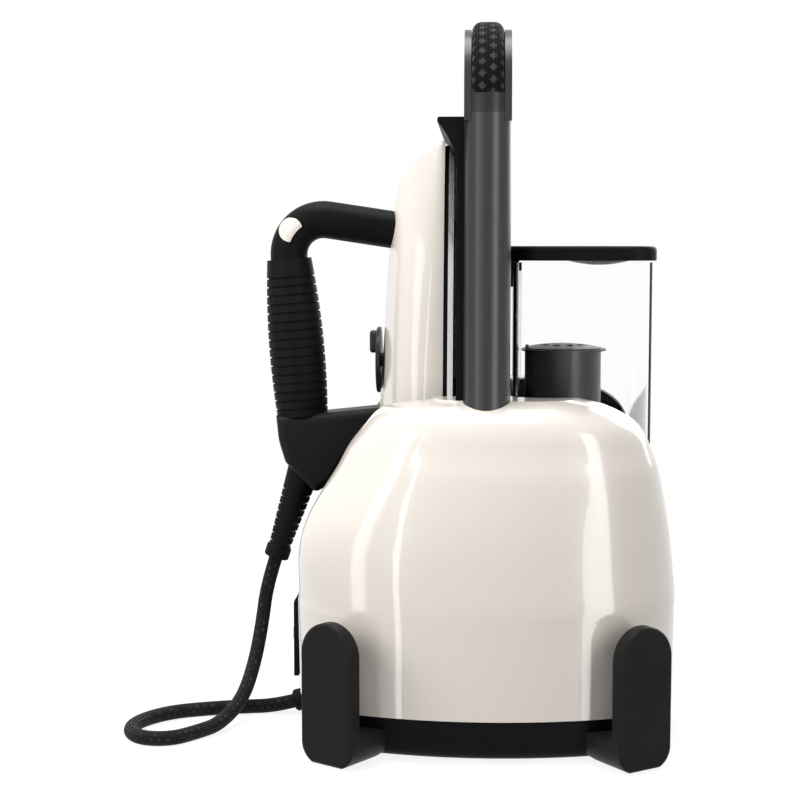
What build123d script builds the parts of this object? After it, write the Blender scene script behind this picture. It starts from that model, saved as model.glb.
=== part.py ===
from build123d import *
import os
from math import cos, hypot, radians, sin, sqrt, tan, acos

os.makedirs("parts", exist_ok=True)

# A compact steam ironing station: base with carry handle, docked iron, lift-out water tank, steam hose.
# Millimetres. Z is up from the floor, -Y is the near face, +X is the tank side.
# Across sizes are measured from the plane of the carry handle, which stands at BASE_X in the part's frame.

# Clearances
FIT = 0.25
RUN = 0.4

# Base shell
SHELL_HALF_WIDTH = 104.0
SHELL_HALF_DEPTH = 127.0
SHELL_FOOT_Z = 23.5
SHELL_TOP_Z = 186.0
SHELL_WALL = 3.0
SHELL_CORNER = 58.0
END_RADIUS = 215.0
SIDE_RADIUS = 1700.0
# Shoulders of the shell: drop below its top, then how far the iron side, tank side and ends are drawn in
SHELL_SHOULDERS = (
    (112.0, 0.0, 0.3, 0.1),
    (94.0, 0.2, 1.2, 0.6),
    (79.0, 1.4, 2.8, 1.6),
    (64.0, 6.4, 4.9, 3.2),
    (49.0, 15.0, 7.8, 5.6),
    (34.0, 24.0, 11.4, 9.0),
    (21.0, 32.0, 16.5, 13.0),
    (10.0, 41.0, 26.0, 18.0),
    (6.0, 46.0, 33.0, 22.0),
    (2.8, 58.0, 41.0, 27.0),
    (0.0, 74.0, 53.0, 34.0),
)

# Base pan
PAN_FOOT_Z = 1.5
PAN_FLOOR = 3.0
PAN_RIM = 6.0
PAN_LIP = 2.5
# Rounded foot of the pan: rise above its underside, then how far it is drawn in
PAN_ROUND = ((0.0, 9.0), (2.2, 4.2), (7.5, 1.4))

# Feet
FOOT_WIDTH = 34.0
FOOT_THICK = 7.0
FOOT_HEIGHT = 75.0
FOOT_TURN = 35.0
FOOT_GAP = 14.0
FOOT_ARM_TOP = 17.0
FOOT_LIFT = 0.8
PAD_THICK = 2.2
PAD_WIDTH = 9.0
PAD_LENGTH = 16.0
SCREW_SHAFT = 3.6
SCREW_HEAD = 7.0

# Carry handle
POST_WIDTH = 24.6
POST_DEPTH = 27.0
POST_Y = 88.5
POST_SEAM_Z = 335.5
COLLAR_HEIGHT = 10.0
HANDLE_TOP_Z = 385.0
GRIP_BEND = 23.5
GRIP_THICK = 27.0
RAIL_THICK = 3.6
RAIL_DEPTH = 20.0
RAIL_DROP = 4.0
CORE_WIDTH = 9.5
CORE_DEPTH = 17.0

# Iron; its handle, boot and hose are laid out from the shell's iron side
HAND_X = -SHELL_HALF_WIDTH
IRON_TIP_Z = 327.0
IRON_HEEL_Z = 117.0
IRON_HALF_WIDTH = 55.0
SHOULDER_UP = 55.0
HEEL_DRAW = 5.0
SOLE_FACE_X = -17.8
SOLE_THICK = 3.8
SKIRT_THICK = 2.4
SKIRT_INSET = 1.5
CASTING_INSET = 8.0
CASTING_THICK = 11.0
COVER_CUT_Z = 174.5
COVER_WALL = 2.4
NOSE_RADIUS = 5.0
TIP_RADIUS = 3.0
# Cover levels: distance out from the skirt, then the drop of its nose and of its half width
COVER_LEVELS = (
    (0.0, -4.5, 1.0),
    (9.0, -1.5, 1.6),
    (15.0, 3.0, 3.2),
    (22.4, 11.5, 7.5),
    (26.5, 21.0, 12.5),
    (29.5, 36.0, 19.5),
    (32.0, 60.0, 27.0),
    (34.0, 84.0, 35.0),
    (35.5, 112.0, 42.5),
    (36.6, 141.0, 49.0),
)
TUBE_RADIUS = 10.7
TUBE_BEND = 20.0
NECK_IN = (-47.0, 275.3)
TUBE_CORNER = (HAND_X - 12.2, 285.8)
TUBE_FOOT = (HAND_X - 2.8, 169.0)
TUBE_SINK = 8.0
GRIP_TOP_SINK = 1.0
GRIP_TOP_RADIUS = 12.8
GRIP_MID_RADIUS = 16.0
GRIP_FOOT_RADIUS = 14.6
GRIP_COLLAR = 10.0
GRIP_RIBS = 16
GROOVE_DEEP = 1.0
GROOVE_WIDE = 1.1
BUTTON_AT = (HAND_X - 8.2, 276.3)
BUTTON_RADIUS = 7.0
BUTTON_BITE = 19.4
BUTTON_PROUD = 0.5
BUTTON_ROOT = 3.0
BUTTON_TRAVEL = 1.5
DIAL_Z = 201.5
DIAL_RADIUS = 19.0
DIAL_THICK = 2.2
DIAL_SHAFT = 4.0
DIAL_TAB = 4.2
HORN_HALF = 14.0
HORN_OUTLINE = (
    (HAND_X - 17.2, 169.3),
    (HAND_X - 15.8, 155.0),
    (HAND_X - 12.0, 142.5),
    (HAND_X + 5.0, 124.8),
    (HAND_X + 15.0, 130.0),
    (HAND_X + 26.5, 148.0),
    (-64.0, 161.0),
    (-52.0, 164.0),
    (-52.0, 174.3),
    (-65.5, 174.2),
    (HAND_X + 11.2, 171.3),
)
HORN_ROUNDS = (
    (HAND_X - 15.8, 155.0, 30.0),
    (HAND_X - 12.0, 142.5, 5.0),
    (HAND_X + 5.0, 124.8, 4.0),
    (HAND_X + 15.0, 130.0, 6.0),
    (HAND_X + 26.5, 148.0, 14.0),
    (-64.0, 161.0, 8.0),
)
HORN_EDGE = 5.0
BOOT_TOP = (HAND_X - 1.6, 138.8)
BOOT_END = (HAND_X - 18.9, 85.3)
BOOT_TOP_RADIUS = 9.6
BOOT_END_RADIUS = 6.4
BOOT_RING_RADIUS = 7.3
BOOT_RING = 7.0
BOOT_SLOTS = 8

# Dock
PANEL_THICK = 4.0
PANEL_HALF = 89.5
PANEL_TOP_Z = 334.0
LIP_REACH = 10.0
LIP_RISE = 31.0
TIP_CLEAR = 2.5
UNDOCK_RISE = 24.0
BAY_HALF = 62.0
BAY_WALL = 2.0
BAY_FLOOR_Z = 110.0
BAY_LIP = 14.0
BAY_LIP_THICK = 5.0
BAY_SUNK = 0.8

# Water tank
TANK_LEFT_X = 14.4
TANK_RIGHT_X = 89.3
TANK_HALF = 68.0
TANK_FLOOR_Z = 148.0
TANK_RIM_Z = 258.3
TANK_WALL = 2.2
TANK_CORNER = 14.0
TANK_BAY_WALL = 1.6
LID_UNDER_Z = 259.3
LID_TOP_Z = 267.0
LID_OVER = 2.0
LID_SKIRT = 2.0
HINGE_RADIUS = 2.4
PIN_RADIUS = 1.1
KNUCKLE = 13.0
BRACKET_HALF = 26.0
BRACKET_THICK = 1.4
BRACKET_LEG = 14.0
DISH_X = 64.0
DISH_RADIUS = 19.5
DISH_DEEP = 3.0
CUP_X = 43.6
CUP_Y = 2.0
CUP_RADIUS = 22.4
CUP_FLANGE = 25.2
CUP_HEIGHT = 58.0
CUP_WALL = 2.0
CUP_RIM = 1.0
CAP_RIM = 0.7
CAP_RISE = 2.4
CAP_PLUG = 4.0
CAP_TAB = 1.4
VALVE_X = 46.0
VALVE_Y = -42.0
VALVE_RADIUS = 7.0
VALVE_LENGTH = 12.0

# Works in the base
BOILER_RIGHT_X = 8.0
BOILER_CLEAR = 12.0
BOILER_RADIUS = (SHELL_HALF_WIDTH - BOILER_CLEAR + BOILER_RIGHT_X) / 2
BOILER_X = BOILER_RIGHT_X - BOILER_RADIUS
BOILER_Z = 27.0
BOILER_HEIGHT = 70.0
BOILER_WALL = 2.0
FLANGE = 5.0
FLANGE_THICK = 2.0
HEATER_RADIUS = BOILER_RADIUS - 12.0
HEATER_BORE = HEATER_RADIUS - 14.0
HEATER_THICK = 8.0
PUMP_RADIUS = 19.0
PUMP_LENGTH = 72.0
PUMP_Z = 38.0
SOLENOID_X = BOILER_X
SOLENOID_Y = -12.0 - BOILER_RADIUS - FLANGE
BOARD_X = 60.0
BOARD_Y = 34.0
BOARD_Z = 22.0
PIPE_RADIUS = 4.0
PIPE_BORE = 2.5
GLAND_Y = -30.0
GLAND_TILT = 15.0
GLAND_RADIUS = 6.2
MAINS_Z = 17.0
MAINS_RADIUS = 6.0
MAINS_BORE = 3.6
SWITCH_Z = 62.0
SWITCH_RADIUS = 8.0
SWITCH_TRAVEL = 2.0

# Hose and strap
HOSE_RADIUS = 4.0
STRAP_WIDTH = 20.0
STRAP_LEAF = 2.8
STRAP_TOP_Z = 63.0
STRAP_LENGTH = 47.0
STRAP_STEP = 7.0

# The part's frame stands midway between the grip's outer edge and the tank side of the shell
TUBE_OUT = TUBE_CORNER[0] - 12.6
BASE_X = (-TUBE_OUT - SHELL_HALF_WIDTH) / 2
POST_HALF = POST_WIDTH / 2
PANEL_BACK_X = -POST_HALF
PANEL_FACE_X = PANEL_BACK_X - PANEL_THICK
PAN_TOP_Z = PAN_FOOT_Z + PAN_FLOOR
SKIRT_X = SOLE_FACE_X - SOLE_THICK
COVER_X = SKIRT_X - SKIRT_THICK


def level(z):
    return Plane((BASE_X, 0, z), x_dir=(1, 0, 0), z_dir=(0, 0, 1))


def upright(y=0.0):
    return Plane((BASE_X, y, 0), x_dir=(1, 0, 0), z_dir=(0, -1, 0))


def facing(x):
    return Plane((BASE_X + x, 0, 0), x_dir=(0, 1, 0), z_dir=(1, 0, 0))


def at(x, y, z):
    return Vector(BASE_X + x, y, z)


def vertex_at(sketch, x, y):
    """Corner of a sketch nearest to a point given in the sketch's own plane."""
    return min(sketch.vertices(), key=lambda v: hypot(v.X - x, v.Y - y))


def plan(iron_in, tank_in, end_in):
    """Plan outline of the base, drawn in on the iron side, the tank side and both ends."""
    left = SHELL_HALF_WIDTH - iron_in
    right = SHELL_HALF_WIDTH - tank_in
    deep = SHELL_HALF_DEPTH - end_in
    middle = (right - left) / 2
    half = (right + left) / 2
    end = deep - half * half / (2 * END_RADIUS)
    side = end * end / (2 * SIDE_RADIUS)
    with BuildLine() as line:
        ThreePointArc((side - left, -end), (middle, -deep), (right - side, -end))
        ThreePointArc((right - side, -end), (right, 0), (right - side, end))
        ThreePointArc((right - side, end), (middle, deep), (side - left, end))
        ThreePointArc((side - left, end), (-left, 0), (side - left, -end))
    face = make_face(line.edges())
    fillet(face.vertices(), min(SHELL_CORNER - min(iron_in, tank_in, end_in), 0.72 * half))


def shell_form(inset, drop):
    """Closed form of the base shell, drawn in all round by an inset; its foot goes down by a drop."""
    first = SHELL_SHOULDERS[0]
    waist = SHELL_TOP_Z - inset - first[0]
    with BuildPart() as form:
        with BuildSketch(level(SHELL_FOOT_Z - drop)):
            plan(inset + 1.0, inset + 1.0, inset + 1.0)
        with BuildSketch(level(waist)):
            plan(inset + first[1], inset + first[2], inset + first[3])
        loft(ruled=True)
        for below, iron_in, tank_in, end_in in SHELL_SHOULDERS:
            with BuildSketch(level(SHELL_TOP_Z - inset - below)):
                plan(inset + iron_in, inset + tank_in, inset + end_in)
        loft()
    return form.part


def pan_form(inset, floor):
    """Closed form of the pan under the shell, with its rounded foot."""
    lip = PAN_LIP + inset
    with BuildPart() as form:
        for rise, grow in PAN_ROUND:
            with BuildSketch(level(PAN_FOOT_Z + floor + rise)):
                plan(lip + grow, lip + grow, lip + grow)
        with BuildSketch(level(SHELL_FOOT_Z)):
            plan(lip, lip, lip)
        loft()
    return form.part


def post_slots(grow):
    with Locations((0, -POST_Y), (0, POST_Y)):
        SlotOverall(POST_DEPTH + 2 * grow, POST_WIDTH + 2 * grow, rotation=90)


shell_outer = shell_form(0.0, 0.0)
shell_inner = shell_form(SHELL_WALL, 2.0)
shell_sunk = shell_form(BAY_SUNK, 0.0)
pan_outer = pan_form(0.0, 0.0)

TANK_MID_X = (TANK_LEFT_X + TANK_RIGHT_X) / 2
TANK_WIDE = TANK_RIGHT_X - TANK_LEFT_X
BAY_BACK_X = PANEL_BACK_X
BAY_REACH = SHELL_HALF_WIDTH + 20.0


def tank_plan(grow):
    with Locations((TANK_MID_X, 0)):
        RectangleRounded(TANK_WIDE + 2 * grow, 2 * (TANK_HALF + grow), TANK_CORNER + grow)


RIM_IN = 1.0 + SHELL_WALL + FIT
BOARD_WIDE = 56.0
BOARD_DEEP = 44.0
FOOT_ARM = FOOT_THICK + PAD_LENGTH + 13.0
PAD_AT = FOOT_THICK + PAD_LENGTH / 2
FOOT_OUT = (sin(radians(FOOT_TURN)), cos(radians(FOOT_TURN)))
FOOT_X = SHELL_HALF_WIDTH - 36.0 + FOOT_GAP
FOOT_Y = SHELL_HALF_DEPTH - 10.0 + FOOT_GAP
CORNERS = {"near_left": (-1, -1), "near_right": (1, -1), "far_left": (-1, 1), "far_right": (1, 1)}


def foot_plane(corner, inward, z):
    """Upright plane through a foot, facing out of its corner, drawn in from the slab's outer face."""
    out = Vector(corner[0] * FOOT_OUT[0], corner[1] * FOOT_OUT[1], 0)
    across = Vector(0, 0, 1).cross(out)
    origin = at(corner[0] * FOOT_X, corner[1] * FOOT_Y, z) - out * inward
    return Plane(origin, x_dir=across, z_dir=out)


def foot_screw_set(grow):
    """Four screws that run from inside the pan out into the foot arms."""
    with BuildPart() as screws:
        for corner in CORNERS.values():
            with BuildSketch(foot_plane(corner, SCREW_IN, SCREW_Z)):
                Circle(SCREW_SHAFT / 2 + grow)
            extrude(amount=SCREW_LONG + grow)
            with BuildSketch(foot_plane(corner, SCREW_IN, SCREW_Z)):
                Circle(SCREW_HEAD / 2 + grow)
            extrude(amount=-2.6 - 30.0 * grow)
    return screws.part


SCREW_IN = FOOT_THICK + PAD_LENGTH + 4.5
SCREW_Z = 11.0
SCREW_LONG = PAD_LENGTH


def gland_plane(out):
    """Plane across the hose gland, a distance out along its axis from its outer end."""
    tilt = radians(GLAND_TILT)
    along = Vector(-cos(tilt), 0, -sin(tilt))
    return Plane(at(*GLAND_END) + along * out, x_dir=(0, 1, 0), z_dir=along)


GLAND_END = (-5.0 - SHELL_HALF_WIDTH, GLAND_Y, 7.2)
GLAND_LENGTH = 24.0
OUTLET_Z = BOILER_Z + BOILER_HEIGHT / 2 + 14.0
OUTLET = (Vector(SOLENOID_X, SOLENOID_Y, 0) - Vector(BOILER_X, 0, 0)).normalized()
STUD_Z = 40.0
boot_along = (Vector(*BOOT_END) - Vector(*BOOT_TOP)).normalized()
HOSE_POINTS = (
    (BOOT_END[0], 0.0, BOOT_END[1]),
    (BOOT_END[0] + 18.0 * boot_along.X, 0.0, BOOT_END[1] + 18.0 * boot_along.Y),
    (HAND_X - 26.5, -7.0, 47.0),
    (HAND_X - 28.8, -24.0, 27.5),
    (HAND_X - 32.5, -48.0, 12.5),
    (HAND_X - 42.0, -70.0, 4.6),
    (HAND_X - 52.0, -83.5, HOSE_RADIUS),
    (HAND_X - 64.0, -97.5, HOSE_RADIUS),
    (HAND_X - 81.0, -97.0, HOSE_RADIUS),
    (HAND_X - 90.5, -82.5, HOSE_RADIUS),
    (HAND_X - 88.0, -64.0, HOSE_RADIUS),
    (HAND_X - 74.0, -46.0, HOSE_RADIUS),
    (HAND_X - 53.0, -37.3, HOSE_RADIUS),
    (HAND_X - 34.0, -32.5, HOSE_RADIUS),
    (GLAND_END[0] - 11.5, GLAND_Y, GLAND_END[2] - 11.5 * tan(radians(GLAND_TILT))),
    GLAND_END,
)


# Outer shell, open below, with the two bays and the handle posts cut through it
with BuildPart() as outer_shell:
    add(shell_outer)
    add(shell_inner, mode=Mode.SUBTRACT)
    with BuildSketch(level(BAY_FLOOR_Z - BAY_WALL - FIT)):
        with Locations(((BAY_BACK_X + BAY_WALL + FIT - BAY_REACH) / 2, 0)):
            Rectangle(BAY_BACK_X + BAY_WALL + FIT + BAY_REACH, 2 * (BAY_HALF + BAY_WALL + FIT))
    extrude(amount=SHELL_TOP_Z, mode=Mode.SUBTRACT)
    with BuildSketch(level(TANK_FLOOR_Z - TANK_BAY_WALL - FIT)):
        tank_plan(RUN + TANK_BAY_WALL + FIT)
    extrude(amount=SHELL_TOP_Z, mode=Mode.SUBTRACT)
    with BuildSketch(level(SHELL_FOOT_Z)):
        post_slots(FIT)
    extrude(amount=SHELL_TOP_Z, mode=Mode.SUBTRACT)
    with BuildSketch(upright(SHELL_HALF_DEPTH + 5.0)):
        with Locations((0, SWITCH_Z)):
            Circle(SWITCH_RADIUS + RUN)
    extrude(amount=20.0, mode=Mode.SUBTRACT)
outer_shell.part.label = "outer_shell"
export_step(outer_shell.part, "parts/outer_shell.step")

# Base pan: a shallow bowl that carries the shell on its ledge and everything inside
with BuildPart() as base_pan:
    add(pan_outer)
    with BuildSketch(level(SHELL_FOOT_Z)):
        plan(RIM_IN, RIM_IN, RIM_IN)
    extrude(amount=PAN_RIM)
    add(pan_form(6.5, PAN_FLOOR), mode=Mode.SUBTRACT)
    with BuildSketch(level(SHELL_FOOT_Z)):
        plan(RIM_IN + 2.6, RIM_IN + 2.6, RIM_IN + 2.6)
    extrude(amount=PAN_RIM, mode=Mode.SUBTRACT)
    with BuildSketch(level(PAN_TOP_Z)):
        post_slots(4.0)
    extrude(amount=14.0)
    with BuildSketch(level(PAN_TOP_Z)):
        post_slots(FIT)
    extrude(amount=20.0, mode=Mode.SUBTRACT)
    with BuildSketch(level(PAN_TOP_Z)):
        with Locations((BOILER_X, 0)):
            with PolarLocations(HEATER_RADIUS + 6.5, 4):
                Circle(3.5)
    extrude(amount=BOILER_Z - PAN_TOP_Z)
    with BuildSketch(level(PAN_TOP_Z)):
        with Locations((BOARD_X, BOARD_Y)):
            with GridLocations(BOARD_WIDE - 8.0, BOARD_DEEP - 8.0, 2, 2):
                Circle(3.0)
    extrude(amount=BOARD_Z - PAN_TOP_Z)
    add(foot_screw_set(FIT), mode=Mode.SUBTRACT)
    with BuildSketch(gland_plane(0.0)):
        Circle(GLAND_RADIUS + FIT)
    extrude(amount=40.0, both=True, mode=Mode.SUBTRACT)
    with BuildSketch(upright(SHELL_HALF_DEPTH + 5.0)):
        with Locations((0, MAINS_Z)):
            Circle(MAINS_RADIUS + FIT)
    extrude(amount=30.0, mode=Mode.SUBTRACT)
base_pan.part.label = "base_pan"
export_step(base_pan.part, "parts/base_pan.step")

# Four feet: an upright slab off each corner, on an arm that runs in to the pan
pan_clear = pan_form(-FIT, 0.0)
for name, corner in CORNERS.items():
    out = Vector(corner[0] * FOOT_OUT[0], corner[1] * FOOT_OUT[1], 0)
    side_plane = Plane(at(corner[0] * FOOT_X, corner[1] * FOOT_Y, 0), x_dir=-out, z_dir=(-out).cross(Vector(0, 0, 1)))
    with BuildPart() as foot:
        with BuildSketch(side_plane) as profile:
            with BuildLine():
                Polyline(
                    (0, FOOT_LIFT),
                    (0, FOOT_HEIGHT),
                    (FOOT_THICK, FOOT_HEIGHT),
                    (FOOT_THICK, FOOT_ARM_TOP),
                    (FOOT_ARM, FOOT_ARM_TOP),
                    (FOOT_ARM, 7.0),
                    (FOOT_THICK + PAD_LENGTH + 1.5, FOOT_LIFT),
                    close=True,
                )
            make_face()
            fillet(vertex_at(profile, FOOT_THICK, FOOT_ARM_TOP), 6.0)
        extrude(amount=FOOT_WIDTH / 2, both=True)
        with BuildSketch(foot_plane(corner, FOOT_ARM, 0)) as slab:
            with Locations((0, FOOT_HEIGHT / 2)):
                Rectangle(FOOT_WIDTH, FOOT_HEIGHT)
            fillet(slab.vertices().group_by(Axis.Y)[-1], FOOT_WIDTH / 2 - 0.1)
            fillet(slab.vertices().group_by(Axis.Y)[0], FOOT_WIDTH / 2 - PAD_WIDTH / 2 - 1.0)
        extrude(amount=FOOT_ARM + 1.0, mode=Mode.INTERSECT)
        rim = foot.faces().sort_by(Axis(side_plane.origin, out))[-1]
        fillet(rim.edges(), 2.0)
        add(pan_clear, mode=Mode.SUBTRACT)
        add(foot_screw_set(0.0), mode=Mode.SUBTRACT)
        with BuildSketch(Plane(side_plane.origin - out * PAD_AT, x_dir=out, z_dir=(0, 0, 1))):
            RectangleRounded(PAD_LENGTH + 2 * FIT, PAD_WIDTH + 2 * FIT, PAD_WIDTH / 2)
        extrude(amount=PAD_THICK, mode=Mode.SUBTRACT)
    foot.part.label = "foot_" + name
    export_step(foot.part, "parts/foot_" + name + ".step")

with BuildPart() as foot_pads:
    for corner in CORNERS.values():
        out = Vector(corner[0] * FOOT_OUT[0], corner[1] * FOOT_OUT[1], 0)
        with BuildSketch(Plane(at(corner[0] * FOOT_X, corner[1] * FOOT_Y, 0) - out * PAD_AT, x_dir=out, z_dir=(0, 0, 1))):
            RectangleRounded(PAD_LENGTH, PAD_WIDTH, PAD_WIDTH / 2 - FIT)
        extrude(amount=PAD_THICK)
foot_pads.part.label = "foot_pads"
export_step(foot_pads.part, "parts/foot_pads.step")

foot_screws = foot_screw_set(0.0)
foot_screws.label = "foot_screws"
export_step(foot_screws, "parts/foot_screws.step")

# Carry handle: two posts that stand in the pan, two side rails over the top
GRIP_MID_Z = HANDLE_TOP_Z - GRIP_THICK / 2
RAIL_TOP_Z = HANDLE_TOP_Z - RAIL_DROP
RAIL_IN_X = POST_HALF - RAIL_THICK
GRIP_WIDE = 2 * RAIL_IN_X - 2 * FIT


def arch(z):
    """Middle line of the carry handle, from one post up over the top and down to the other."""
    with BuildLine(facing(0)) as line:
        FilletPolyline(
            (-POST_Y, z),
            (-POST_Y, GRIP_MID_Z),
            (POST_Y, GRIP_MID_Z),
            (POST_Y, z),
            radius=GRIP_BEND,
        )
    return line.line


with BuildPart() as handle_frame:
    with BuildSketch(level(PAN_TOP_Z)):
        post_slots(0.0)
    extrude(amount=POST_SEAM_Z - PAN_TOP_Z)
    for x in (RAIL_IN_X, -POST_HALF):
        with BuildSketch(facing(x)) as rail:
            with Locations((0, (RAIL_TOP_Z + POST_SEAM_Z - 4.0) / 2)):
                Rectangle(2 * POST_Y + RAIL_DEPTH, RAIL_TOP_Z - POST_SEAM_Z + 4.0)
            fillet(rail.vertices().group_by(Axis.Y)[-1], GRIP_BEND + RAIL_DEPTH / 2)
            with Locations((0, (RAIL_TOP_Z - RAIL_DEPTH + POST_SEAM_Z - 4.0) / 2)):
                Rectangle(2 * POST_Y - RAIL_DEPTH, RAIL_TOP_Z - RAIL_DEPTH - POST_SEAM_Z + 4.0, mode=Mode.SUBTRACT)
            fillet(vertex_at(rail, POST_Y - RAIL_DEPTH / 2, RAIL_TOP_Z - RAIL_DEPTH), GRIP_BEND - RAIL_DEPTH / 2)
            fillet(vertex_at(rail, RAIL_DEPTH / 2 - POST_Y, RAIL_TOP_Z - RAIL_DEPTH), GRIP_BEND - RAIL_DEPTH / 2)
        extrude(amount=RAIL_THICK)
handle_frame.part.label = "handle_frame"
export_step(handle_frame.part, "parts/handle_frame.step")

core_line = arch(POST_SEAM_Z)
with BuildPart() as handle_core:
    with BuildSketch(Plane(core_line @ 0, x_dir=(1, 0, 0), z_dir=core_line % 0)):
        RectangleRounded(CORE_WIDTH, CORE_DEPTH, CORE_WIDTH / 3)
    sweep(path=core_line)
handle_core.part.label = "handle_core"
export_step(handle_core.part, "parts/handle_core.step")

with BuildPart() as handle_collars:
    with BuildSketch(level(POST_SEAM_Z)):
        post_slots(0.0)
        Rectangle(GRIP_WIDE, 3 * POST_Y, mode=Mode.INTERSECT)
        with Locations((0, -POST_Y), (0, POST_Y)):
            RectangleRounded(CORE_WIDTH + 2 * FIT, CORE_DEPTH + 2 * FIT, CORE_WIDTH / 3, mode=Mode.SUBTRACT)
    extrude(amount=COLLAR_HEIGHT)
handle_collars.part.label = "handle_collars"
export_step(handle_collars.part, "parts/handle_collars.step")

sleeve_line = arch(POST_SEAM_Z + COLLAR_HEIGHT)
with BuildPart() as grip_sleeve:
    with BuildSketch(Plane(sleeve_line @ 0, x_dir=(1, 0, 0), z_dir=sleeve_line % 0)):
        RectangleRounded(GRIP_WIDE, GRIP_THICK, 0.42 * GRIP_WIDE)
        RectangleRounded(CORE_WIDTH + 2 * FIT, CORE_DEPTH + 2 * FIT, CORE_WIDTH / 3, mode=Mode.SUBTRACT)
    sweep(path=sleeve_line)
grip_sleeve.part.label = "grip_sleeve"
export_step(grip_sleeve.part, "parts/grip_sleeve.step")


# Iron, docked upright: outlines are drawn looking at the sole, y across and z up
def iron_outline(inset):
    """Sole outline, drawn in by an inset."""
    shoulder = IRON_HEEL_Z + SHOULDER_UP
    rise = IRON_TIP_Z - shoulder
    with BuildLine() as line:
        ThreePointArc((0, IRON_TIP_Z), (0.655 * IRON_HALF_WIDTH, shoulder + 0.523 * rise), (IRON_HALF_WIDTH, shoulder))
        Line((IRON_HALF_WIDTH, shoulder), (IRON_HALF_WIDTH - HEEL_DRAW, IRON_HEEL_Z))
        Line((IRON_HALF_WIDTH - HEEL_DRAW, IRON_HEEL_Z), (HEEL_DRAW - IRON_HALF_WIDTH, IRON_HEEL_Z))
        Line((HEEL_DRAW - IRON_HALF_WIDTH, IRON_HEEL_Z), (-IRON_HALF_WIDTH, shoulder))
        ThreePointArc((-IRON_HALF_WIDTH, shoulder), (-0.655 * IRON_HALF_WIDTH, shoulder + 0.523 * rise), (0, IRON_TIP_Z))
    face = make_face(line.edges())
    corners = face.vertices().group_by(Axis.Y)
    fillet(corners[0], 16.0)
    fillet(corners[-1], TIP_RADIUS)
    if inset:
        offset(amount=-inset, mode=Mode.REPLACE)


def cover_outline(nose, half, cut):
    """One level of the iron's cover: a pointed arch with a rounded nose on a straight cut."""
    rise = nose - cut
    with BuildLine() as line:
        ThreePointArc((half, cut), (0.655 * half, cut + 0.523 * rise), (0, nose))
        ThreePointArc((0, nose), (-0.655 * half, cut + 0.523 * rise), (-half, cut))
        Line((-half, cut), (half, cut))
    face = make_face(line.edges())
    fillet(face.vertices().group_by(Axis.Y)[-1], min(NOSE_RADIUS, 0.4 * half))


def cover_form(wall):
    with BuildPart() as form:
        for out, nose, half in COVER_LEVELS:
            if IRON_HALF_WIDTH - half - wall > 4.0:
                with BuildSketch(facing(COVER_X - out + wall)):
                    cover_outline(IRON_TIP_Z - nose - 1.5 * wall, IRON_HALF_WIDTH - half - wall, COVER_CUT_Z - wall)
        loft()
    return form.part


with BuildPart() as soleplate:
    with BuildSketch(facing(SOLE_FACE_X)):
        iron_outline(0.0)
    extrude(amount=-SOLE_THICK)
    edge = soleplate.faces().sort_by(Axis.X)[-1].edges()
    chamfer(edge, 0.8)
    with BuildSketch(facing(SOLE_FACE_X)):
        for row in range(5):
            half = 8.0 + 6.5 * row
            with Locations((-half, IRON_TIP_Z - 40.0 - 22.0 * row), (half, IRON_TIP_Z - 40.0 - 22.0 * row)):
                Circle(1.4)
        with Locations((0, IRON_TIP_Z - 24.0), (0, IRON_TIP_Z - 62.0), (0, IRON_TIP_Z - 100.0)):
            Circle(1.4)
    extrude(amount=-2.0, mode=Mode.SUBTRACT)
soleplate.part.label = "soleplate"
export_step(soleplate.part, "parts/soleplate.step")

with BuildPart() as sole_skirt:
    with BuildSketch(facing(SKIRT_X)):
        iron_outline(SKIRT_INSET)
    extrude(amount=-SKIRT_THICK)
    with BuildSketch(facing(SKIRT_X)):
        iron_outline(CASTING_INSET - FIT)
    extrude(amount=-SKIRT_THICK, mode=Mode.SUBTRACT)
sole_skirt.part.label = "sole_skirt"
export_step(sole_skirt.part, "parts/sole_skirt.step")

with BuildPart() as iron_casting:
    with BuildSketch(facing(SKIRT_X)):
        iron_outline(CASTING_INSET)
    extrude(amount=-CASTING_THICK)
    with BuildSketch(facing(SKIRT_X - CASTING_THICK)):
        iron_outline(CASTING_INSET + 5.0)
    extrude(amount=3.5, mode=Mode.SUBTRACT)
iron_casting.part.label = "iron_casting"
export_step(iron_casting.part, "parts/iron_casting.step")

cover_outer = cover_form(0.0)
with BuildLine(upright()) as tube:
    FilletPolyline(NECK_IN, TUBE_CORNER, TUBE_FOOT, radius=TUBE_BEND)
tube_line = tube.line
foot_along = (tube_line % 1).normalized()


def tube_form(radius):
    with BuildPart() as form:
        with BuildSketch(Plane(tube_line @ 0, z_dir=tube_line % 0)):
            Circle(radius)
        sweep(path=tube_line)
        with BuildSketch(Plane(tube_line @ 1, z_dir=foot_along)):
            Circle(radius)
        extrude(amount=TUBE_SINK)
    return form.part


with BuildPart() as iron_cover:
    add(cover_outer)
    add(cover_form(COVER_WALL), mode=Mode.SUBTRACT)
    add(tube_form(TUBE_RADIUS + FIT), mode=Mode.SUBTRACT)
    with BuildSketch(facing(COVER_X)):
        with Locations((0, DIAL_Z)):
            Circle(DIAL_SHAFT + RUN)
    extrude(amount=-60.0, mode=Mode.SUBTRACT)
iron_cover.part.label = "iron_cover"
export_step(iron_cover.part, "parts/iron_cover.step")

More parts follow.
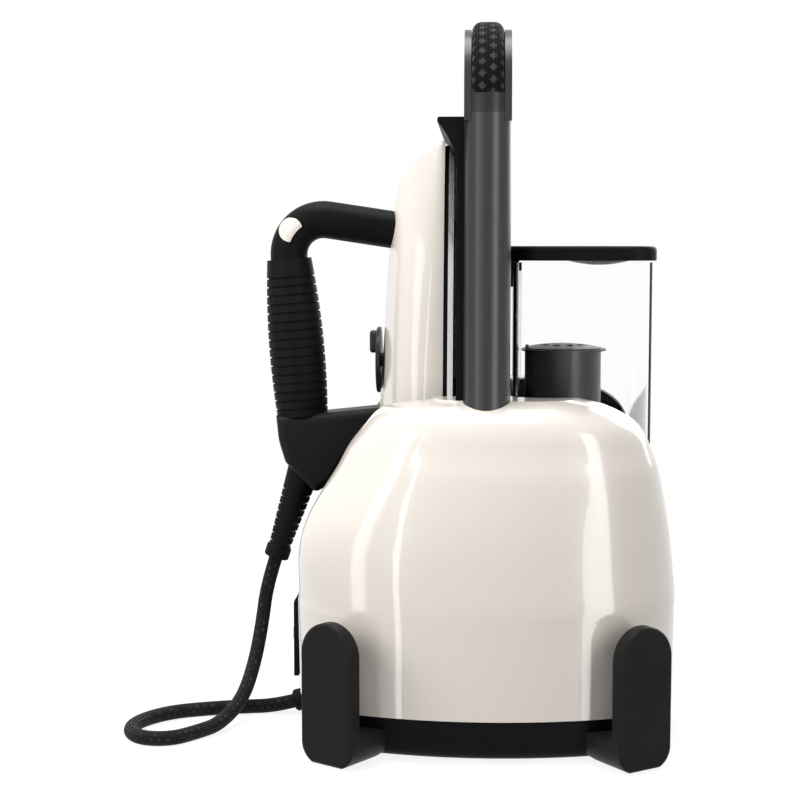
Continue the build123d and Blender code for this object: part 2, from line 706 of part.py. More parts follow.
# Rear housing: the heel of the body and the horn that carries the grip and the hose
with BuildPart() as heel_form:
    heel_face = cover_outer.faces().sort_by(Axis.Z)[0]
    extrude(heel_face, amount=COVER_CUT_Z - IRON_HEEL_Z, dir=(0, 0, -1))
    with BuildSketch(facing(COVER_X)):
        iron_outline(1.0)
    extrude(amount=-80.0, mode=Mode.INTERSECT)
with BuildPart() as horn_form:
    with BuildSketch(upright()) as horn:
        with BuildLine():
            Polyline(*HORN_OUTLINE, close=True)
        make_face()
        for x, z, r in HORN_ROUNDS:
            fillet(vertex_at(horn, x, z), r)
    extrude(amount=HORN_HALF, both=True)
    flanks = horn_form.faces().filter_by(Axis.Y).edges()
    fillet([e for e in flanks if e.center().Z < TUBE_FOOT[1] + 1.5 and e.center().X < BASE_X - 66.0], HORN_EDGE)
with BuildPart() as rear_housing:
    add(heel_form.part)
    add(horn_form.part)
    with BuildSketch(level(IRON_HEEL_Z + 4.0)):
        with Locations((COVER_X - 13.0, 0)):
            RectangleRounded(22.0, 76.0, 5.0)
    extrude(amount=COVER_CUT_Z, mode=Mode.SUBTRACT)
    add(tube_form(TUBE_RADIUS + FIT), mode=Mode.SUBTRACT)
    with BuildSketch(facing(COVER_X)):
        iron_outline(CASTING_INSET - FIT)
    extrude(amount=SKIRT_THICK - CASTING_THICK - FIT, mode=Mode.SUBTRACT)
rear_housing.part.label = "rear_housing"
export_step(rear_housing.part, "parts/rear_housing.step")

# Steam buttons: a crescent on each flank of the bend, let in to a pocket
BEND_AT = (HAND_X + 9.75, 262.2)


def crescent(grow):
    with Locations(BUTTON_AT):
        Circle(BUTTON_RADIUS + grow)
    with Locations(BEND_AT):
        Circle(BUTTON_BITE - grow, mode=Mode.SUBTRACT)


tube_proud = tube_form(TUBE_RADIUS + BUTTON_PROUD)
for name, side in (("near", -1), ("far", 1)):
    with BuildPart() as steam_button:
        with BuildSketch(upright(side * BUTTON_ROOT)):
            crescent(0.0)
        extrude(amount=-side * 12.0)
        add(tube_proud, mode=Mode.INTERSECT)
    steam_button.part.label = "steam_button_" + name
    export_step(steam_button.part, "parts/steam_button_" + name + ".step")

with BuildPart() as iron_handle:
    add(tube_form(TUBE_RADIUS))
    for side in (-1, 1):
        with BuildSketch(upright(side * (BUTTON_ROOT - BUTTON_TRAVEL - RUN))):
            crescent(RUN)
        extrude(amount=-side * 14.0, mode=Mode.SUBTRACT)
iron_handle.part.label = "iron_handle"
export_step(iron_handle.part, "parts/iron_handle.step")

# Ribbed grip over the lower leg of the tube, turned about the tube's own line
leg = Vector(*TUBE_FOOT) - Vector(*TUBE_CORNER)
leg_unit = leg.normalized()
turn = acos(-leg_unit.dot((Vector(*TUBE_CORNER) - Vector(*NECK_IN)).normalized()))
bend_run = TUBE_BEND / tan(turn / 2)
grip_long = leg.length - bend_run - GRIP_TOP_SINK
grip_top = Vector(*TUBE_FOOT) - leg_unit * grip_long
grip_plane = Plane(at(grip_top.X, 0, grip_top.Y), x_dir=(-leg_unit.Y, 0, leg_unit.X), z_dir=(0, -1, 0))


def grip_radius(s):
    """Outer radius of the grip at a share of its length, through its top, middle and foot radii."""
    top, middle, foot = GRIP_TOP_RADIUS, GRIP_MID_RADIUS, GRIP_FOOT_RADIUS
    return top * (s - 0.6) * (s - 1) / 0.6 + middle * s * (s - 1) / -0.24 + foot * s * (s - 0.6) / 0.4


grip_points = [(TUBE_RADIUS + FIT, 0.0), (grip_radius(0.0), 0.0)]
rib = (grip_long - GRIP_COLLAR) / GRIP_RIBS
for number in range(GRIP_RIBS):
    s = GRIP_COLLAR + number * rib
    r = grip_radius(s / grip_long)
    grip_points += [(r, -s), (r - GROOVE_DEEP, -s - 0.3), (r - GROOVE_DEEP, -s - GROOVE_WIDE + 0.3), (r, -s - GROOVE_WIDE)]
grip_points += [(grip_radius(1.0), -grip_long), (TUBE_RADIUS + FIT, -grip_long)]
with BuildPart() as iron_grip:
    with BuildSketch(grip_plane):
        with BuildLine():
            Polyline(*grip_points, close=True)
        make_face()
    revolve(axis=Axis(grip_plane.origin, grip_plane.y_dir))
    add(horn_form.part, mode=Mode.SUBTRACT)
iron_grip.part.label = "iron_grip"
export_step(iron_grip.part, "parts/iron_grip.step")

# Temperature dial on the spine of the cover, on a shaft through it
DIAL_X = COVER_X - COVER_LEVELS[-1][0] - RUN
with BuildPart() as temperature_dial:
    with BuildSketch(facing(DIAL_X)):
        with Locations((0, DIAL_Z)):
            Circle(DIAL_RADIUS)
    extrude(amount=-DIAL_THICK)
    rim = temperature_dial.edges().sort_by(Axis.X)[0]
    fillet(rim, 0.7)
    with BuildSketch(facing(DIAL_X - DIAL_THICK)):
        with Locations((0, DIAL_Z + DIAL_RADIUS - 8.5)):
            RectangleRounded(8.0, 13.0, 3.0)
    extrude(amount=-DIAL_TAB)
    tab = temperature_dial.faces().sort_by(Axis.X)[0].edges()
    fillet(tab, 1.5)
    with BuildSketch(facing(DIAL_X)):
        with Locations((0, DIAL_Z)):
            Circle(DIAL_SHAFT)
    extrude(amount=8.0)
temperature_dial.part.label = "temperature_dial"
export_step(temperature_dial.part, "parts/temperature_dial.step")

# Hose boot: a tapered sleeve with slots on two sides and a ring at its end
boot_axis = (Vector(*BOOT_END) - Vector(*BOOT_TOP))
boot_long = boot_axis.length
boot_unit = boot_axis.normalized()
boot_plane = Plane(at(BOOT_TOP[0], 0, BOOT_TOP[1]), x_dir=(-boot_unit.Y, 0, boot_unit.X), z_dir=(0, -1, 0))
with BuildPart() as hose_boot:
    with BuildSketch(boot_plane):
        with BuildLine():
            Polyline(
                (0, 0),
                (BOOT_TOP_RADIUS, 0),
                (BOOT_END_RADIUS, BOOT_RING - boot_long),
                (BOOT_RING_RADIUS, BOOT_RING - boot_long - 0.6),
                (BOOT_RING_RADIUS, 0.6 - boot_long),
                (BOOT_RING_RADIUS - 0.6, -boot_long),
                (0, -boot_long),
                close=True,
            )
        make_face()
    revolve(axis=Axis(boot_plane.origin, boot_plane.y_dir))
    with BuildSketch(boot_plane):
        for number in range(BOOT_SLOTS):
            down = -16.0 - number * (boot_long - BOOT_RING - 18.0) / (BOOT_SLOTS - 1)
            r = BOOT_TOP_RADIUS + (BOOT_END_RADIUS - BOOT_TOP_RADIUS) * -down / boot_long
            with Locations((-r, down), (r, down)):
                Rectangle(7.0, 1.5)
    extrude(amount=20.0, both=True, mode=Mode.SUBTRACT)
    add(horn_form.part, mode=Mode.SUBTRACT)
hose_boot.part.label = "hose_boot"
export_step(hose_boot.part, "parts/hose_boot.step")

# Dock panel: a sheet between the posts that stands in the iron bay and curls out over the iron's nose
UNDOCK = Vector(-cos(radians(UNDOCK_RISE)), 0, sin(radians(UNDOCK_RISE)))
LIP_X = PANEL_FACE_X - LIP_REACH
with BuildPart() as dock_panel:
    with BuildSketch(upright()) as profile:
        with BuildLine():
            low = SHELL_TOP_Z + FIT
            bend = PANEL_TOP_Z - LIP_RISE
            Line((PANEL_BACK_X, PANEL_TOP_Z), (PANEL_BACK_X, low))
            Line((PANEL_BACK_X, low), (PANEL_FACE_X, low))
            Line((PANEL_FACE_X, low), (PANEL_FACE_X, bend))
            ThreePointArc((PANEL_FACE_X, bend), (PANEL_FACE_X - 0.28 * LIP_REACH, bend + 0.55 * LIP_RISE), (LIP_X, PANEL_TOP_Z - 2.5))
            Line((LIP_X, PANEL_TOP_Z - 2.5), (LIP_X, PANEL_TOP_Z))
            Line((LIP_X, PANEL_TOP_Z), (PANEL_BACK_X, PANEL_TOP_Z))
        make_face()
        fillet(vertex_at(profile, LIP_X, PANEL_TOP_Z), 1.2)
    extrude(amount=PANEL_HALF, both=True)
    with BuildSketch(level(BAY_FLOOR_Z)):
        with Locations(((PANEL_BACK_X + PANEL_FACE_X) / 2, 0)):
            Rectangle(PANEL_THICK, 2 * (BAY_HALF - FIT))
    extrude(amount=SHELL_TOP_Z + 5.0 - BAY_FLOOR_Z)
    with BuildSketch(facing(SOLE_FACE_X + 0.6)):
        iron_outline(-TIP_CLEAR)
    extrude(amount=60.0, dir=UNDOCK, mode=Mode.SUBTRACT)
dock_panel.part.label = "dock_panel"
export_step(dock_panel.part, "parts/dock_panel.step")

with BuildPart() as dock_pads:
    with BuildSketch(facing(PANEL_FACE_X)):
        with Locations((0, IRON_TIP_Z - 50.0), (-30.0, IRON_HEEL_Z + 60.0), (30.0, IRON_HEEL_Z + 60.0)):
            Circle(5.0)
    extrude(amount=SOLE_FACE_X - PANEL_FACE_X)
dock_pads.part.label = "dock_pads"
export_step(dock_pads.part, "parts/dock_pads.step")

# Iron bay: a liner let in to the shell, open to the top and the iron side, with a low lip along its front
LIP_BACK_X = -SHELL_HALF_WIDTH + 4.0 + BAY_LIP_THICK
with BuildPart() as iron_bay:
    with BuildSketch(level(BAY_FLOOR_Z - BAY_WALL)):
        with Locations(((BAY_BACK_X + BAY_WALL - BAY_REACH) / 2, 0)):
            Rectangle(BAY_BACK_X + BAY_WALL + BAY_REACH, 2 * (BAY_HALF + BAY_WALL))
    extrude(amount=SHELL_TOP_Z)
    add(shell_sunk, mode=Mode.INTERSECT)
    with BuildSketch(level(BAY_FLOOR_Z)):
        with Locations(((BAY_BACK_X + LIP_BACK_X) / 2, 0)):
            Rectangle(BAY_BACK_X - LIP_BACK_X, 2 * BAY_HALF)
    extrude(amount=SHELL_TOP_Z, mode=Mode.SUBTRACT)
    with BuildSketch(level(BAY_FLOOR_Z + BAY_LIP)):
        with Locations(((BAY_BACK_X - BAY_REACH) / 2, 0)):
            Rectangle(BAY_BACK_X + BAY_REACH, 2 * BAY_HALF)
    extrude(amount=SHELL_TOP_Z, mode=Mode.SUBTRACT)
iron_bay.part.label = "iron_bay"
export_step(iron_bay.part, "parts/iron_bay.step")

with BuildPart() as heel_rest:
    with BuildSketch(level(BAY_FLOOR_Z)):
        with Locations((SOLE_FACE_X - 20.0, -22.0), (SOLE_FACE_X - 20.0, 22.0)):
            RectangleRounded(34.0, 14.0, 3.0)
    extrude(amount=IRON_HEEL_Z - BAY_FLOOR_Z)
heel_rest.part.label = "heel_rest"
export_step(heel_rest.part, "parts/heel_rest.step")

# Tank bay: a liner with its rim a little below the shell's edge, and the socket that the tank plugs into
SOCKET_RADIUS = VALVE_RADIUS + 4.0
with BuildPart() as tank_bay:
    with BuildSketch(level(TANK_FLOOR_Z - TANK_BAY_WALL)):
        tank_plan(RUN + TANK_BAY_WALL)
    extrude(amount=SHELL_TOP_Z)
    add(shell_sunk, mode=Mode.INTERSECT)
    with BuildSketch(level(TANK_FLOOR_Z)):
        tank_plan(RUN)
    extrude(amount=SHELL_TOP_Z, mode=Mode.SUBTRACT)
    with BuildSketch(level(TANK_FLOOR_Z - 5.0)):
        with Locations((VALVE_X, VALVE_Y)):
            Circle(VALVE_RADIUS + RUN)
    extrude(amount=10.0, mode=Mode.SUBTRACT)
tank_bay.part.label = "tank_bay"
export_step(tank_bay.part, "parts/tank_bay.step")

SOCKET_TOP_Z = TANK_FLOOR_Z - TANK_BAY_WALL
SOCKET_LOW_Z = TANK_FLOOR_Z - VALVE_LENGTH - 3.0
with BuildPart() as valve_socket:
    with BuildSketch(level(SOCKET_TOP_Z)):
        with Locations((VALVE_X, VALVE_Y)):
            Circle(SOCKET_RADIUS)
    extrude(amount=SOCKET_LOW_Z - 2.0 - SOCKET_TOP_Z)
    with BuildSketch(level(SOCKET_TOP_Z)):
        with Locations((VALVE_X, VALVE_Y)):
            Circle(VALVE_RADIUS + RUN)
    extrude(amount=SOCKET_LOW_Z - SOCKET_TOP_Z, mode=Mode.SUBTRACT)
    with BuildSketch(level(SOCKET_LOW_Z - 2.0)):
        with Locations((VALVE_X, VALVE_Y)):
            Circle(PIPE_BORE - FIT)
    extrude(amount=-8.0)
    with BuildSketch(level(SOCKET_LOW_Z)):
        with Locations((VALVE_X, VALVE_Y)):
            Circle(1.2)
    extrude(amount=-12.0, mode=Mode.SUBTRACT)
valve_socket.part.label = "valve_socket"
export_step(valve_socket.part, "parts/valve_socket.step")

# Water tank
with BuildPart() as tank_vessel:
    with BuildSketch(level(TANK_FLOOR_Z)):
        tank_plan(0.0)
    extrude(amount=TANK_RIM_Z - TANK_FLOOR_Z)
    fillet(tank_vessel.faces().sort_by(Axis.Z)[0].edges(), 3.0)
    with BuildSketch(level(TANK_FLOOR_Z + TANK_WALL)):
        tank_plan(-TANK_WALL)
    extrude(amount=TANK_RIM_Z, mode=Mode.SUBTRACT)
    with BuildSketch(level(TANK_FLOOR_Z - 1.0)):
        with Locations((VALVE_X, VALVE_Y)):
            Circle(VALVE_RADIUS - 2.0 + FIT)
    extrude(amount=10.0, mode=Mode.SUBTRACT)
tank_vessel.part.label = "tank_vessel"
export_step(tank_vessel.part, "parts/tank_vessel.step")

with BuildPart() as tank_valve:
    with BuildSketch(level(TANK_FLOOR_Z)):
        with Locations((VALVE_X, VALVE_Y)):
            Circle(VALVE_RADIUS)
    extrude(amount=-VALVE_LENGTH)
    with BuildSketch(level(TANK_FLOOR_Z)):
        with Locations((VALVE_X, VALVE_Y)):
            Circle(VALVE_RADIUS - 2.0)
    extrude(amount=TANK_WALL + 4.0)
    chamfer(tank_valve.edges().filter_by(GeomType.CIRCLE).sort_by(Axis.Z)[0], 1.5)
    with BuildSketch(level(TANK_FLOOR_Z + 20.0)):
        with Locations((VALVE_X, VALVE_Y)):
            Circle(2.0)
    extrude(amount=-60.0, mode=Mode.SUBTRACT)
tank_valve.part.label = "tank_valve"
export_step(tank_valve.part, "parts/tank_valve.step")

# Lid hinge: a clip over the tank's rim, a pin, and the lid on it
HINGE_X = TANK_LEFT_X + 0.8
HINGE_Z = LID_TOP_Z - HINGE_RADIUS - 0.1
CLIP_OUT_X = TANK_LEFT_X - BRACKET_THICK
CLIP_IN_X = TANK_LEFT_X + TANK_WALL + BRACKET_THICK
with BuildPart() as hinge_bracket:
    with BuildSketch(upright()):
        with Locations(((CLIP_OUT_X + CLIP_IN_X) / 2, (TANK_RIM_Z + HINGE_Z) / 2)):
            Rectangle(CLIP_IN_X - CLIP_OUT_X, HINGE_Z - TANK_RIM_Z)
        with Locations((CLIP_OUT_X + BRACKET_THICK / 2, TANK_RIM_Z - BRACKET_LEG / 2)):
            Rectangle(BRACKET_THICK, BRACKET_LEG)
        with Locations((CLIP_IN_X - BRACKET_THICK / 2, TANK_RIM_Z - 2.5)):
            Rectangle(BRACKET_THICK, 5.0)
    extrude(amount=BRACKET_HALF, both=True)
    with BuildSketch(upright()):
        with Locations((HINGE_X, HINGE_Z)):
            Circle(HINGE_RADIUS)
    extrude(amount=BRACKET_HALF, both=True)
    with BuildSketch(upright()):
        with Locations((HINGE_X + 10.0, HINGE_Z - 1.0)):
            Rectangle(30.0, 13.0)
    extrude(amount=KNUCKLE + RUN, both=True, mode=Mode.SUBTRACT)
    with BuildSketch(upright()):
        with Locations((HINGE_X, HINGE_Z)):
            Circle(PIN_RADIUS + 0.02)
    extrude(amount=2 * BRACKET_HALF, both=True, mode=Mode.SUBTRACT)
hinge_bracket.part.label = "hinge_bracket"
export_step(hinge_bracket.part, "parts/hinge_bracket.step")

with BuildPart() as hinge_pin:
    with BuildSketch(upright()):
        with Locations((HINGE_X, HINGE_Z)):
            Circle(PIN_RADIUS)
    extrude(amount=BRACKET_HALF, both=True)
hinge_pin.part.label = "hinge_pin"
export_step(hinge_pin.part, "parts/hinge_pin.step")

LID_LEFT_X = HINGE_X - HINGE_RADIUS
LID_RIGHT_X = TANK_RIGHT_X + LID_OVER
LID_MID_X = (LID_LEFT_X + LID_RIGHT_X) / 2
with BuildPart() as tank_lid:
    with BuildSketch(level(LID_UNDER_Z)):
        with Locations((LID_MID_X, 0)):
            RectangleRounded(LID_RIGHT_X - LID_LEFT_X, 2 * (TANK_HALF + LID_OVER), TANK_CORNER)
    extrude(amount=LID_TOP_Z - LID_UNDER_Z)
    fillet(tank_lid.faces().sort_by(Axis.Z)[-1].edges(), 2.2)
    with BuildSketch(level(LID_UNDER_Z)):
        with Locations((TANK_MID_X + 4.0, 0)):
            RectangleRounded(TANK_WIDE - 2 * TANK_WALL - 12.0, 2 * (TANK_HALF - TANK_WALL - 1.5), TANK_CORNER - 5.0)
    extrude(amount=5.0, mode=Mode.SUBTRACT)
    with BuildSketch(level(LID_TOP_Z)):
        with Locations((DISH_X, 0)):
            Circle(DISH_RADIUS + FIT)
    extrude(amount=-20.0, mode=Mode.SUBTRACT)
    with BuildSketch(upright()):
        with Locations((HINGE_X, HINGE_Z)):
            Circle(HINGE_RADIUS + RUN)
        with Locations((HINGE_X + 0.4, HINGE_Z - 6.0)):
            Rectangle(2 * HINGE_RADIUS + 2 * RUN + 2.4, 12.0)
    extrude(amount=BRACKET_HALF + RUN, both=True, mode=Mode.SUBTRACT)
    with BuildSketch(upright()):
        with Locations((HINGE_X, HINGE_Z)):
            Circle(HINGE_RADIUS)
        with Locations((HINGE_X + 3.0, HINGE_Z)):
            Rectangle(6.0, 2 * HINGE_RADIUS)
    extrude(amount=KNUCKLE, both=True)
    with BuildSketch(upright()):
        with Locations((HINGE_X, HINGE_Z)):
            Circle(PIN_RADIUS + 0.02)
    extrude(amount=2 * BRACKET_HALF, both=True, mode=Mode.SUBTRACT)
tank_lid.part.label = "tank_lid"
export_step(tank_lid.part, "parts/tank_lid.step")

with BuildPart() as fill_dish:
    with BuildSketch(upright()):
        with BuildLine():
            floor = LID_UNDER_Z - DISH_DEEP
            Line((0, floor), (0, floor + 1.6))
            ThreePointArc((0, floor + 1.6), (0.6 * DISH_RADIUS, floor + 2.7), (DISH_RADIUS - 2.0, LID_UNDER_Z + 1.6))
            Line((DISH_RADIUS - 2.0, LID_UNDER_Z + 1.6), (DISH_RADIUS - 2.0, LID_TOP_Z - 1.0))
            Line((DISH_RADIUS - 2.0, LID_TOP_Z - 1.0), (DISH_RADIUS, LID_TOP_Z - 1.0))
            Line((DISH_RADIUS, LID_TOP_Z - 1.0), (DISH_RADIUS, LID_UNDER_Z))
            ThreePointArc((DISH_RADIUS, LID_UNDER_Z), (0.6 * DISH_RADIUS, floor + 1.1), (0, floor))
        make_face()
    revolve(axis=Axis(at(0, 0, 0), (0, 0, 1)))
    with BuildSketch(level(LID_UNDER_Z)):
        with Locations((0, 0)):
            Circle(2.0)
        with PolarLocations(8.0, 6):
            Circle(2.0)
    extrude(amount=20.0, both=True, mode=Mode.SUBTRACT)
fill_dish.part = fill_dish.part.moved(Location((DISH_X, 0, 0)))
fill_dish.part.label = "fill_dish"
export_step(fill_dish.part, "parts/fill_dish.step")

# Filter cartridge standing on the tank floor
CUP_FOOT_Z = TANK_FLOOR_Z + TANK_WALL
CUP_TOP_Z = CUP_FOOT_Z + CUP_HEIGHT
with BuildPart() as filter_cup:
    with BuildSketch(level(CUP_FOOT_Z)):
        with Locations((CUP_X, CUP_Y)):
            Circle(CUP_RADIUS)
    extrude(amount=CUP_HEIGHT)
    with BuildSketch(level(CUP_TOP_Z)):
        with Locations((CUP_X, CUP_Y)):
            Circle(CUP_FLANGE)
    extrude(amount=-CUP_RIM)
    with BuildSketch(level(CUP_FOOT_Z + CUP_WALL)):
        with Locations((CUP_X, CUP_Y)):
            Circle(CUP_RADIUS - CUP_WALL)
    extrude(amount=CUP_HEIGHT, mode=Mode.SUBTRACT)
    with BuildSketch(level(CUP_FOOT_Z)):
        with Locations((CUP_X, CUP_Y)):
            with PolarLocations(CUP_RADIUS - 6.0, 8):
                Circle(2.2)
    extrude(amount=CUP_WALL, mode=Mode.SUBTRACT)
filter_cup.part.label = "filter_cup"
export_step(filter_cup.part, "parts/filter_cup.step")

with BuildPart() as filter_cap:
    with BuildSketch(level(CUP_TOP_Z)):
        with Locations((CUP_X, CUP_Y)):
            Circle(CUP_RADIUS - CUP_WALL - FIT)
    extrude(amount=-CAP_PLUG)
    with BuildSketch(Plane(at(CUP_X, CUP_Y, CUP_TOP_Z), x_dir=(1, 0, 0), z_dir=(0, -1, 0))):
        with BuildLine():
            Line((0, 0), (CUP_RADIUS, 0))
            Line((CUP_RADIUS, 0), (CUP_RADIUS, CAP_RIM))
            RadiusArc((CUP_RADIUS, CAP_RIM), (0, CAP_RIM + CAP_RISE), -(CUP_RADIUS**2 + CAP_RISE**2) / (2 * CAP_RISE))
            Line((0, CAP_RIM + CAP_RISE), (0, 0))
        make_face()
    revolve(axis=Axis(at(CUP_X, CUP_Y, 0), (0, 0, 1)))
    with BuildSketch(level(CUP_TOP_Z)):
        with Locations((CUP_X - CUP_RADIUS + 1.6, CUP_Y)):
            Rectangle(2.0, 10.0)
    extrude(amount=CAP_RIM + CAP_TAB)
    with BuildSketch(level(CUP_TOP_Z)):
        with Locations((CUP_X, CUP_Y)):
            with PolarLocations(12.0, 10):
                Circle(2.2)
    extrude(amount=20.0, both=True, mode=Mode.SUBTRACT)
filter_cap.part.label = "filter_cap"
export_step(filter_cap.part, "parts/filter_cap.step")

# Boiler: two pressed halves with a bolted flange, a heater under it and a thermostat on top
BOILER_MID_Z = BOILER_Z + BOILER_HEIGHT / 2
for name, low, high, way in (("lower", BOILER_Z, BOILER_MID_Z, -1), ("upper", BOILER_MID_Z, BOILER_Z + BOILER_HEIGHT, 1)):
    with BuildPart() as boiler:
        with BuildSketch(level(low)):
            with Locations((BOILER_X, 0)):
                Circle(BOILER_RADIUS)
        extrude(amount=high - low)
        end = boiler.edges().sort_by(Axis.Z)[0] if way < 0 else boiler.edges().sort_by(Axis.Z)[-1]
        fillet(end, 2.5 if way < 0 else 4.0)
        with BuildSketch(level(BOILER_MID_Z)):
            with Locations((BOILER_X, 0)):
                Circle(BOILER_RADIUS + FLANGE)
        extrude(amount=way * FLANGE_THICK)
        with BuildSketch(level(BOILER_MID_Z)):
            with Locations((BOILER_X, 0)):
                Circle(BOILER_RADIUS - BOILER_WALL)
        extrude(amount=way * (BOILER_HEIGHT / 2 - BOILER_WALL), mode=Mode.SUBTRACT)
        if way > 0:
            with BuildSketch(Plane(at(BOILER_X, 0, OUTLET_Z), z_dir=OUTLET)):
                Circle(PIPE_BORE - FIT)
            extrude(amount=BOILER_RADIUS + 5.0)
            with BuildSketch(level(BOILER_MID_Z)):
                with Locations((BOILER_X, 0)):
                    Circle(BOILER_RADIUS - BOILER_WALL)
            extrude(amount=BOILER_HEIGHT / 2 - BOILER_WALL, mode=Mode.SUBTRACT)
            with BuildSketch(Plane(at(BOILER_X, 0, OUTLET_Z), z_dir=OUTLET)):
                Circle(1.2)
            extrude(amount=BOILER_RADIUS + 20.0, mode=Mode.SUBTRACT)
    boiler.part.label = "boiler_" + name
    export_step(boiler.part, "parts/boiler_" + name + ".step")

with BuildPart() as boiler_heater:
    with BuildSketch(level(BOILER_Z)):
        with Locations((BOILER_X, 0)):
            Circle(HEATER_RADIUS)
            Circle(HEATER_BORE, mode=Mode.SUBTRACT)
    extrude(amount=-HEATER_THICK)
    fillet(boiler_heater.faces().sort_by(Axis.Z)[0].edges(), 3.0)
boiler_heater.part.label = "boiler_heater"
export_step(boiler_heater.part, "parts/boiler_heater.step")

with BuildPart() as boiler_thermostat:
    with BuildSketch(level(BOILER_Z + BOILER_HEIGHT)):
        with Locations((BOILER_X, 20.0)):
            Circle(8.0)
    extrude(amount=4.0)
    with BuildSketch(level(BOILER_Z + BOILER_HEIGHT + 4.0)):
        with Locations((BOILER_X, 20.0)):
            with GridLocations(7.0, 1.0, 2, 1):
                Rectangle(1.0, 5.0)
    extrude(amount=4.0)
boiler_thermostat.part.label = "boiler_thermostat"
export_step(boiler_thermostat.part, "parts/boiler_thermostat.step")

# Pump lying along the base under the tank's valve, in a cradle on the pan
PUMP_NEAR_Y = VALVE_Y - PUMP_LENGTH / 2
NIPPLE_Z = PUMP_Z + PUMP_RADIUS
with BuildPart() as pump_bracket:
    with BuildSketch(upright(PUMP_NEAR_Y + 12.0)):
        with Locations((VALVE_X, (PAN_TOP_Z + PUMP_Z) / 2)):
            Rectangle(2 * PUMP_RADIUS + 8.0, PUMP_Z - PAN_TOP_Z)
        with Locations((VALVE_X, PUMP_Z)):
            Circle(PUMP_RADIUS, mode=Mode.SUBTRACT)
    extrude(amount=-(PUMP_LENGTH - 24.0))
pump_bracket.part.label = "pump_bracket"
export_step(pump_bracket.part, "parts/pump_bracket.step")

with BuildPart() as water_pump:
    with BuildSketch(upright(PUMP_NEAR_Y)):
        with Locations((VALVE_X, PUMP_Z)):
            Circle(PUMP_RADIUS - 0.05)
    extrude(amount=-PUMP_LENGTH)
    chamfer(water_pump.edges().filter_by(GeomType.CIRCLE), 1.5)
    with BuildSketch(level(PUMP_Z)):
        with Locations((VALVE_X, VALVE_Y)):
            Circle(PIPE_BORE - FIT)
    extrude(amount=PUMP_RADIUS + 9.0)
    with BuildSketch(level(PUMP_Z)):
        with Locations((VALVE_X, VALVE_Y)):
            Circle(PIPE_RADIUS)
    extrude(amount=PUMP_RADIUS + 1.0)
water_pump.part.label = "water_pump"
export_step(water_pump.part, "parts/water_pump.step")

with BuildPart() as water_tube:
    with BuildSketch(level(NIPPLE_Z + 1.0)):
        with Locations((VALVE_X, VALVE_Y)):
            Circle(PIPE_RADIUS)
            Circle(PIPE_BORE, mode=Mode.SUBTRACT)
    extrude(amount=SOCKET_LOW_Z - 2.0 - NIPPLE_Z - 1.0)
water_tube.part.label = "water_tube"
export_step(water_tube.part, "parts/water_tube.step")

# Solenoid valve on the pan, fed from the boiler and feeding the hose gland
SOLENOID_TOP_Z = PAN_TOP_Z + 44.0
LINE_Z = gland_plane(-GLAND_LENGTH - 12.0).origin.Z
with BuildPart() as solenoid_valve:
    with BuildSketch(level(PAN_TOP_Z)):
        with Locations((SOLENOID_X, SOLENOID_Y)):
            Rectangle(24.0, 24.0)
    extrude(amount=20.0)
    with BuildSketch(level(PAN_TOP_Z + 20.0)):
        with Locations((SOLENOID_X, SOLENOID_Y)):
            Circle(13.0)
    extrude(amount=24.0)
    chamfer(solenoid_valve.edges().filter_by(GeomType.CIRCLE).sort_by(Axis.Z)[-1], 1.5)
    with BuildSketch(level(SOLENOID_TOP_Z)):
        with Locations((SOLENOID_X, SOLENOID_Y)):
            Circle(PIPE_BORE - FIT)
    extrude(amount=8.0)
    with BuildSketch(facing(SOLENOID_X - 12.0)):
        with Locations((SOLENOID_Y, LINE_Z)):
            Circle(PIPE_BORE - FIT)
    extrude(amount=-7.0)
solenoid_valve.part.label = "solenoid_valve"
export_step(solenoid_valve.part, "parts/solenoid_valve.step")


def pipe(points, radius, bore, bend):
    """Tube along straight runs with rounded corners."""
    with BuildPart() as tube:
        with BuildLine() as line:
            FilletPolyline(*points, radius=bend)
        with BuildSketch(Plane(line.line @ 0, z_dir=line.line % 0)):
            Circle(radius)
            if bore:
                Circle(bore, mode=Mode.SUBTRACT)
        sweep(path=line.line)
    return tube.part


outlet_end = at(BOILER_X, 0, OUTLET_Z) + OUTLET * BOILER_RADIUS
steam_tube = pipe(
    (
        outlet_end + OUTLET * FIT,
        at(SOLENOID_X, SOLENOID_Y, OUTLET_Z),
        at(SOLENOID_X, SOLENOID_Y, SOLENOID_TOP_Z),
    ),
    PIPE_RADIUS,
    PIPE_BORE,
    12.0,
)
steam_tube.label = "steam_tube"
export_step(steam_tube, "parts/steam_tube.step")

# Hose gland: a bush through the pan's iron side, tilted down towards the floor
with BuildPart() as hose_gland:
    with BuildSketch(gland_plane(0.0)):
        Circle(GLAND_RADIUS)
    extrude(amount=-GLAND_LENGTH)
    chamfer(hose_gland.edges().sort_by(Axis.X)[0], 1.0)
    with BuildSketch(gland_plane(0.0)):
        Circle(HOSE_RADIUS + 0.1)
    extrude(amount=-8.0, mode=Mode.SUBTRACT)
    with BuildSketch(gland_plane(-GLAND_LENGTH)):
        Circle(PIPE_BORE - FIT)
    extrude(amount=-3.5)
hose_gland.part.label = "hose_gland"
export_step(hose_gland.part, "parts/hose_gland.step")

gland_back = gland_plane(-GLAND_LENGTH - 12.0).origin
steam_line = pipe(
    (
        at(SOLENOID_X - 12.0, SOLENOID_Y, LINE_Z),
        Vector(gland_back.X, SOLENOID_Y, LINE_Z),
        gland_back,
        gland_plane(-GLAND_LENGTH).origin,
    ),
    PIPE_RADIUS,
    PIPE_BORE,
    8.0,
)
steam_line.label = "steam_line"
export_step(steam_line, "parts/steam_line.step")

